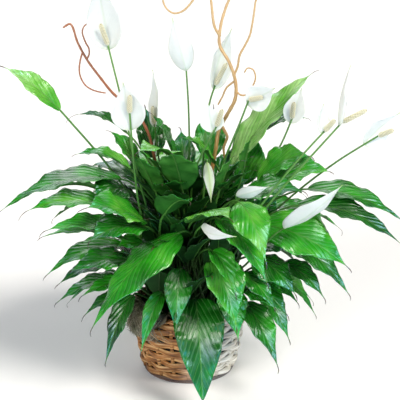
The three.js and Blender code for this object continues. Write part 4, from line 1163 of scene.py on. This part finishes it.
def makeFingerBlank():
    # one spadix of length and radius 1: a core with florets in a spiral
    shape = fingerShape
    core = copyBlank(tubeBlank(12, shape["rings"]), "core")
    points = readPoints(core)
    points[:, 2] /= shape["rings"] - 1
    points[:, :2] *= np.array([[shape["core"] * fingerProfile(mix(0.02, 0.98, t))] for t in points[:, 2]])
    writePoints(core, points)
    writeNumber(core, "standing", np.zeros(len(points)))
    size, tall = shape["floretSize"] / shape["radius"], shape["floretSize"] / shape["length"]
    pieces = [core]
    for k in range(shape["florets"]):
        t = (k + 0.5) / shape["florets"]
        angle, radius = shape["spiral"] * k, fingerProfile(t)
        piece = copyBlank(pebbleBlank, "floret")
        middle = np.array([0.9 * radius * math.cos(angle), 0.9 * radius * math.sin(angle), t])
        points = middle + readPoints(piece) * np.array([size, size, tall])
        writePoints(piece, points)
        reach = np.hypot(points[:, 0], points[:, 1])
        # points low between the florets take the darker straw: painted shade
        writeNumber(piece, "standing", np.clip((reach - 0.8 * radius) / (0.36 * radius), 0, 1))
        pieces.append(piece)
    blank = joinPieces(pieces, "fingerBlank")
    blank.data.materials.append(floretSkin)
    return blank


def growSpadix(number, bloom):
    top, tip = Vector(bloom[2]), Vector(bloom[3])
    way = (tip - top).normalized()
    side = facing(-90, way).cross(way)
    base = top + way * 0.3
    piece = copyBlank(fingerBlank, f"finger_{number:02d}")
    blank = readPoints(piece)
    across = np.outer(blank[:, 0], side) + np.outer(blank[:, 1], way.cross(side))
    points = np.array(base) + across * fingerShape["radius"] + np.outer(blank[:, 2], tip - base)
    writePoints(piece, points * mm)
    finishPiece(piece, [f"spadix_{number:02d}"])


bractSkin, floretSkin = makeBractSkin(), makeFloretSkin()
fingerBlank = makeFingerBlank()


def makeFlowers():
    lines = {id(line["bloom"]): line for shoot in grownShoots for line in shoot["lines"] if "bloom" in line}
    for k, bloom in enumerate(blooms):
        growSpathe(k + 1, bloom, lines[id(bloom)]["points"], random.Random(400 + k))
        if bloom[3]:
            growSpadix(k + 1, bloom)
    print("flowers:", len(blooms))


makeFlowers()


willowLook = {
    "willow_left": {"name": "willowBranchleft", "bark": "satinBarkLeft", "slot": "red_willow",
                    "colors": ("6e3420", "96553c", "b57a52")},
    "willow_centre": {"name": "willowBranchcentre", "bark": "satinBarkCentre", "slot": "honey_willow",
                      "colors": ("8a5a30", "b88a50", "d6b98c")},
}
willowShape = {"foot": 1.25, "end": 1.5, "knots": 0.07, "knotPitch": 1.9, "uneven": (-0.04, 0.04)}


def makeBark(name, colors):
    # curly willow: thin satin bark, darker in its scars, with lengthwise streaks, lighter toward the top
    material, tree = startMaterial(name)
    streaks = addNoise(tree, 1, 4, stretchUv(tree, "skinUv", 900, 45))
    tones = addRamp(tree, streaks, ((0.25, colors[0]), (0.5, colors[1]), (0.75, colors[2])))
    height = rescale(tree, pick(tree, readPlace(tree), "Z"), 0.42, 0.7, 0, 0.6)
    return finishMaterial(material, {
        "Base Color": blend(tree, height, tones, colors[2]), "Normal": addRelief(tree, streaks, 0.5, 0.0004),
        "Roughness": 0.42, "Specular IOR Level": 0.5})


def makeWillow():
    shape = willowShape
    for branch in willowBranches:
        look = willowLook[branch["node"]]
        bark = makeBark(look["bark"], look["colors"])
        chance = random.Random(7)
        pieces = []
        for line in branch["lines"]:
            steps = 7 * (len(line["points"]) - 1)
            centres = Course(line["points"]).stations(steps)
            foot, end = shape["foot"] * line["radii"][0], shape["end"] * line["radii"][-1]
            radii = []
            for i in range(steps + 1):
                knots = shape["knots"] * math.sin(shape["knotPitch"] * i) + chance.uniform(*shape["uneven"])
                radii.append(mix(foot, end, i / steps) * (1 + knots))
            radii[-1] *= 0.5
            pieces.append(sweepTube(centres, radii, bark, sides=10))
        finishPiece(joinPieces(pieces, look["name"]), [branch["node"]])
    print("willow branches:", len(willowBranches))


makeWillow()


basketShape = {
    "height": 135, "rim": 104, "foot": 85, "flare": 0.9, "rows": 9, "band": 8, "border": 10,
    "weave": 3.0, "uneven": 0.5, "strand": (5.9, 2.0), "strandInset": 2.2,
    "stakes": 20, "stakeHeights": (9, 128), "stakeRadius": 3.4, "stakeInset": 2.4,
    "rods": 3, "rodRadius": 2.4, "rodTurns": 14, "rodInset": 3, "rodDrop": 5, "rodOut": 3.4, "rodUp": 2.6,
    "bandRods": (2.2, 6.1), "bandRod": (2.2, 2.4), "bandInset": 2.4, "uvRadius": 0.09, "uvThick": 1.7,
}
wickerLook = {
    "browns": ((0.32, "4a2a10"), (0.5, "a56a30"), (0.68, "eabf82")),
    "paintedLitPales": ((0.32, "978a78"), (0.5, "e8decb"), (0.68, "fefaf0")), "grey": "3b3438",
}
ringBlankRadius = 0.2


def basketRadius(height):
    s = basketShape
    share = min(height / s["height"], 1)
    return mix(s["foot"], s["rim"], math.sin(0.5 * math.pi * share) ** s["flare"])


def makeWicker(name, footGrey):
    # split rattan: honey brown on its shaded side, painted pale cream on its lit side as painted light, cut
    # along its grain
    material, tree = startMaterial(name)
    fibres = addNoise(tree, 1, 5, stretchUv(tree, "strandUv", 22, 250), 0.6)
    # toward the lamp on the right the rattan is painted pale cream: painted light
    paintedLitSide = rescale(tree, pick(tree, readPlace(tree), "X"), -0.02, 0.06)
    color = blend(tree, paintedLitSide, *[addRamp(tree, fibres, wickerLook[key]) for key in ("browns", "paintedLitPales")])
    color = shadeColor(tree, color, rescale(tree, addNoise(tree, 18), 0.3, 0.7, 0.6, 1.15))
    return finishMaterial(material, {
        # the foot band and the floor disc are mixed toward dark grey
        "Base Color": blend(tree, footGrey, color, wickerLook["grey"]),
        "Normal": addRelief(tree, fibres, 0.7, 0.0006), "Roughness": 0.5, "Specular IOR Level": 0.45})


def shapeHoop(blank, material, angle, radius, height, halfHeight, halfThick):
    # a hoop whose radius and height follow the angle round the basket
    piece = copyBlank(blank, "hoop")
    points = readPoints(piece) / ringBlankRadius
    out = np.hypot(points[:, 0], points[:, 1]) - 1 / ringBlankRadius
    radius = radius + out * halfThick
    height = height + points[:, 2] * halfHeight
    uv = [angle * basketShape["uvRadius"], (height + basketShape["uvThick"] * out) * mm]
    writePoints(piece, np.stack([radius * np.cos(angle), radius * np.sin(angle), height], axis=1) * mm)
    writeUv(piece, "strandUv", np.stack(uv, axis=1))
    piece.data.materials.append(material)
    return piece


def makeBasket():
    s = basketShape
    wicker, band = makeWicker("splitRattanStrands", 0.0), makeWicker("greyedRattanBand", 0.82)
    blank = addMesh("ringBlank", bpy.ops.mesh.primitive_torus_add, major_segments=160, minor_segments=8,
                    major_radius=1, minor_radius=ringBlankRadius)
    points = readPoints(blank)
    angle = np.arctan2(points[:, 1], points[:, 0])
    chance = random.Random(3)
    pieces = []
    rowHeight = (s["height"] - s["border"] - s["band"]) / s["rows"]
    for row in range(s["rows"]):
        level = s["band"] + (row + 0.5) * rowHeight
        drift = [(chance.uniform(0.2, 0.7), chance.randint(1, 9), chance.uniform(0, 6.3)) for k in range(4)]
        radius = basketRadius(level) - s["strandInset"] + s["uneven"] * np.sin(7 * angle + drift[0][2])
        radius += s["weave"] * np.cos(0.5 * s["stakes"] * angle + math.pi * row)
        height = level + sum(size * np.sin(turns * angle + start) for size, turns, start in drift)
        pieces.append(shapeHoop(blank, wicker, angle, radius, height, *s["strand"]))
    for k in range(s["rods"]):
        # the rim is three rods that wind round one another
        turn = s["rodTurns"] * angle + 2.09 * k
        radius = s["rim"] - s["rodInset"] + s["rodOut"] * np.cos(turn)
        height = s["height"] - s["rodDrop"] + s["rodUp"] * np.sin(turn)
        pieces.append(shapeHoop(blank, wicker, angle, radius, height, s["rodRadius"], s["rodRadius"]))
    for height in s["bandRods"]:
        pieces.append(shapeHoop(blank, band, angle, s["foot"] - s["bandInset"], height, *s["bandRod"]))
    for k in range(s["stakes"]):
        heights = [mix(*s["stakeHeights"], i / 9) for i in range(10)]
        centres = [polar(360 * k / s["stakes"], basketRadius(z) - s["stakeInset"], z) for z in heights]
        pieces.append(sweepTube(centres, [s["stakeRadius"]] * 10, wicker, flatness=0.4, uvName="strandUv"))
    # the woven floor inside, drawn as one disc
    disc = addMesh("disc", bpy.ops.mesh.primitive_cylinder_add, vertices=48, radius=0.083, depth=0.004)
    disc.location.z = 0.003
    bpy.ops.object.transform_apply(location=True, rotation=True, scale=True)
    startEdit()
    bpy.ops.mesh.bevel(offset=0.001, segments=2)
    bpy.ops.object.mode_set(mode="OBJECT")
    disc.data.uv_layers[0].name = "strandUv"
    disc.data.materials.append(band)
    pieces.append(disc)
    finishPiece(joinPieces(pieces, "basketWeave"), ["basket"])
    bpy.data.objects.remove(blank)
    print("basket woven:", s["rows"], "rows")


makeBasket()


def coverNode(name, material):
    # a solid that keeps its own form and gets its finish
    piece = bpy.data.objects.get(name) or [o for o in bpy.data.objects if o.name.startswith(name)][0]
    for slot in piece.material_slots:
        slot.material = material
    if not piece.material_slots:
        piece.data.materials.append(material)


def makePlastic(name, low, high, roughness):
    # blown film and moulded polypropylene: satin, with faint flow marks
    material, tree = startMaterial(name)
    cloud = addNoise(tree, 35, 3)
    return finishMaterial(material, {
        "Base Color": addRamp(tree, cloud, ((0.3, low), (0.7, high))),
        "Normal": addRelief(tree, cloud, 0.3, 0.0006), "Roughness": roughness})


peatBrowns = ((0.1, "1c120b"), (0.6, "3a281a"), (0.93, "57402a"), (0.98, "a89a86"))


def makeCompost():
    # peat compost: near-black crumbs with tan fibres and pale grit
    material, tree = startMaterial("crumblyPeatCompost")
    crumbs = addNode(tree, "ShaderNodeTexVoronoi", "Color", {"Scale": 260.0, "Vector": readPlace(tree)})
    return finishMaterial(material, {
        "Base Color": addRamp(tree, crumbs, peatBrowns),
        "Normal": addRelief(tree, crumbs.node.outputs["Distance"], 0.9, 0.002),
        "Roughness": 0.95, "Specular IOR Level": 0.2})


soilShape = {"crumbs": 420, "size": (1.0, 2.6), "radius": 82, "height": 108, "dip": 3, "crownRoom": 10,
             "stakeRoom": 6}


def makeCrumbs(compost):
    s = soilShape
    chance = random.Random(11)
    centres = [polar(shoot["azimuth"], shoot["radius"], 0) for shoot in shoots]
    pieces = []
    while len(pieces) < s["crumbs"]:
        radius, azimuth = s["radius"] * math.sqrt(chance.random()), chance.uniform(0, 360)
        place = polar(azimuth, radius, 0)
        if min((place - centre).length for centre in centres) < s["crownRoom"] or radius < s["stakeRoom"]:
            continue
        size = chance.uniform(*s["size"])
        place.z = s["height"] - s["dip"] * (radius / 84) ** 2 + 0.25 * size
        piece = copyBlank(pebbleBlank, "crumb")
        shape = readPoints(piece) * size * np.array([chance.uniform(0.7, 1.3), chance.uniform(0.7, 1.3), 0.7])
        shape = shape * (1 + 0.2 * np.sin(9 * shape[:, :1] + 5 * shape[:, 1:2] + azimuth))
        writePoints(piece, (shape + np.array(place)) * mm)
        pieces.append(piece)
    piece = joinPieces(pieces, "soilCrumbs")
    piece.data.materials.append(compost)
    finishPiece(piece, smooth=False)


coverNode("basket_liner", makePlastic("blackLinerFilm", "141416", "26262a", 0.38))
coverNode("nursery_pot", makePlastic("mouldedPotPlastic", "19211d", "26302a", 0.5))
peat = makeCompost()
coverNode("soil", peat)
makeCrumbs(peat)
print("soil filled")


mossShape = {
    "from": 198, "to": 252, "middle": 215, "scatter": 11, "fibres": 900, "radius": 0.52, "length": (12, 40),
    "lift": (0.5, 7.5), "sway": (-14, 14), "swayUp": (-4, 5), "curl": (3, 9), "hang": 6,
    "taper": (0.7, 1, 1, 0.9, 0.7, 0.3), "matThickness": 1.6,
}
# the way that the moss takes over the rim, in radii and heights, and about how long that is
mossPath = [(80, 106.3), (88, 124), (95.5, 141.5), (107, 142.5), (114, 130), (116, 111), (114, 94)]
mossPathLength = 110
mossTones = ((0.1, "3a3528"), (0.4, "7d7460"), (0.65, "aaa38c"), (0.85, "6c7952"), (1, "cbc1aa"))


def makeMossSkin():
    # dried sheet moss: matt, grey-brown with olive and straw fibres
    material, tree = startMaterial("driedMossFibre")
    fleck = addNoise(tree, 420)
    tone = calculate(tree, "MULTIPLY_ADD", fleck, 0.35, readNumber(tree, "fibreTone"))
    return finishMaterial(material, {
        "Base Color": addRamp(tree, tone, mossTones), "Normal": addRelief(tree, fleck, 0.4, 0.0004),
        "Roughness": 0.95, "Specular IOR Level": 0.2})


def mossPlace(share, azimuth, lift):
    # a place along the way of the moss, this high above it
    spot = share * (len(mossPath) - 1)
    k = min(int(spot), len(mossPath) - 2)
    here, there = mossPath[k], mossPath[k + 1]
    radius, height = [mix(here[j], there[j], spot - k) for j in range(2)]
    dr, dz = there[0] - here[0], there[1] - here[1]
    size = math.hypot(dr, dz)
    return polar(azimuth, radius - dz / size * lift, height + dr / size * lift)


def growFibre(number, skin, chance):
    s = mossShape
    azimuth = min(max(chance.gauss(s["middle"], s["scatter"]), s["from"]), s["to"])
    bulk = math.sin(math.pi * (azimuth - s["from"] + 3) / (s["to"] - s["from"] + 6))
    share = chance.uniform(0.02, 0.9)
    length = chance.uniform(*s["length"]) / mossPathLength
    lift = chance.uniform(*s["lift"]) * (0.4 + 0.6 * bulk)
    sway, swayUp, curl = chance.uniform(*s["sway"]), chance.uniform(*s["swayUp"]), chance.uniform(*s["curl"])
    points = []
    for i in range(6):
        t = i / 5
        place = mossPlace(min(share + length * t, 1), azimuth + sway * t + 1.2 * math.sin(curl * t + number),
                          max(lift + swayUp * t * t, -1.2))
        points.append(place - up * s["hang"] * t * t * max(0, share + length - 1))
    fibre = sweepTube(points, [s["radius"] * w for w in s["taper"]], skin, sides=3)
    writeNumber(fibre, "fibreTone", np.full(len(fibre.data.vertices), chance.random()))
    return fibre


def makeMoss():
    s = mossShape
    skin = makeMossSkin()
    chance = random.Random(21)
    pieces = [growFibre(k, skin, chance) for k in range(s["fibres"])]
    # the mat that the fibres grow from
    mat = copyBlank(sheetBlank, "mat")
    flat = readPoints(mat)
    across, along = flat[:, 0] + 0.5, flat[:, 1] + 0.5
    places = []
    for a, b in zip(along, across):
        azimuth = mix(s["from"] + 3, s["to"] - 3, a)
        bulk = math.sin(math.pi * mix(0.06, 0.94, a)) * mix(1, 0.5, a)
        lumps = abs(math.sin(17 * a + 9 * b) * math.sin(11 * b + 5 * a))
        places.append(mossPlace(b * mix(0.6, 1, bulk), azimuth, 1.2 + 2.2 * bulk * lumps))
    writePoints(mat, np.array(places) * mm)
    writeNumber(mat, "fibreTone", 0.05 + 0.1 * np.sin(31 * along + 17 * across))
    mat.data.materials.append(skin)
    thicken(mat, s["matThickness"])
    startEdit()
    turnOutward()
    finishPiece(joinPieces(pieces + [mat], "mossTuft"), ["moss"])
    print("moss laid:", s["fibres"], "fibres")


makeMoss()

for blank in [sheetBlank, pebbleBlank, fingerBlank] + list(tubeBlanks.values()):
    bpy.data.objects.remove(blank)
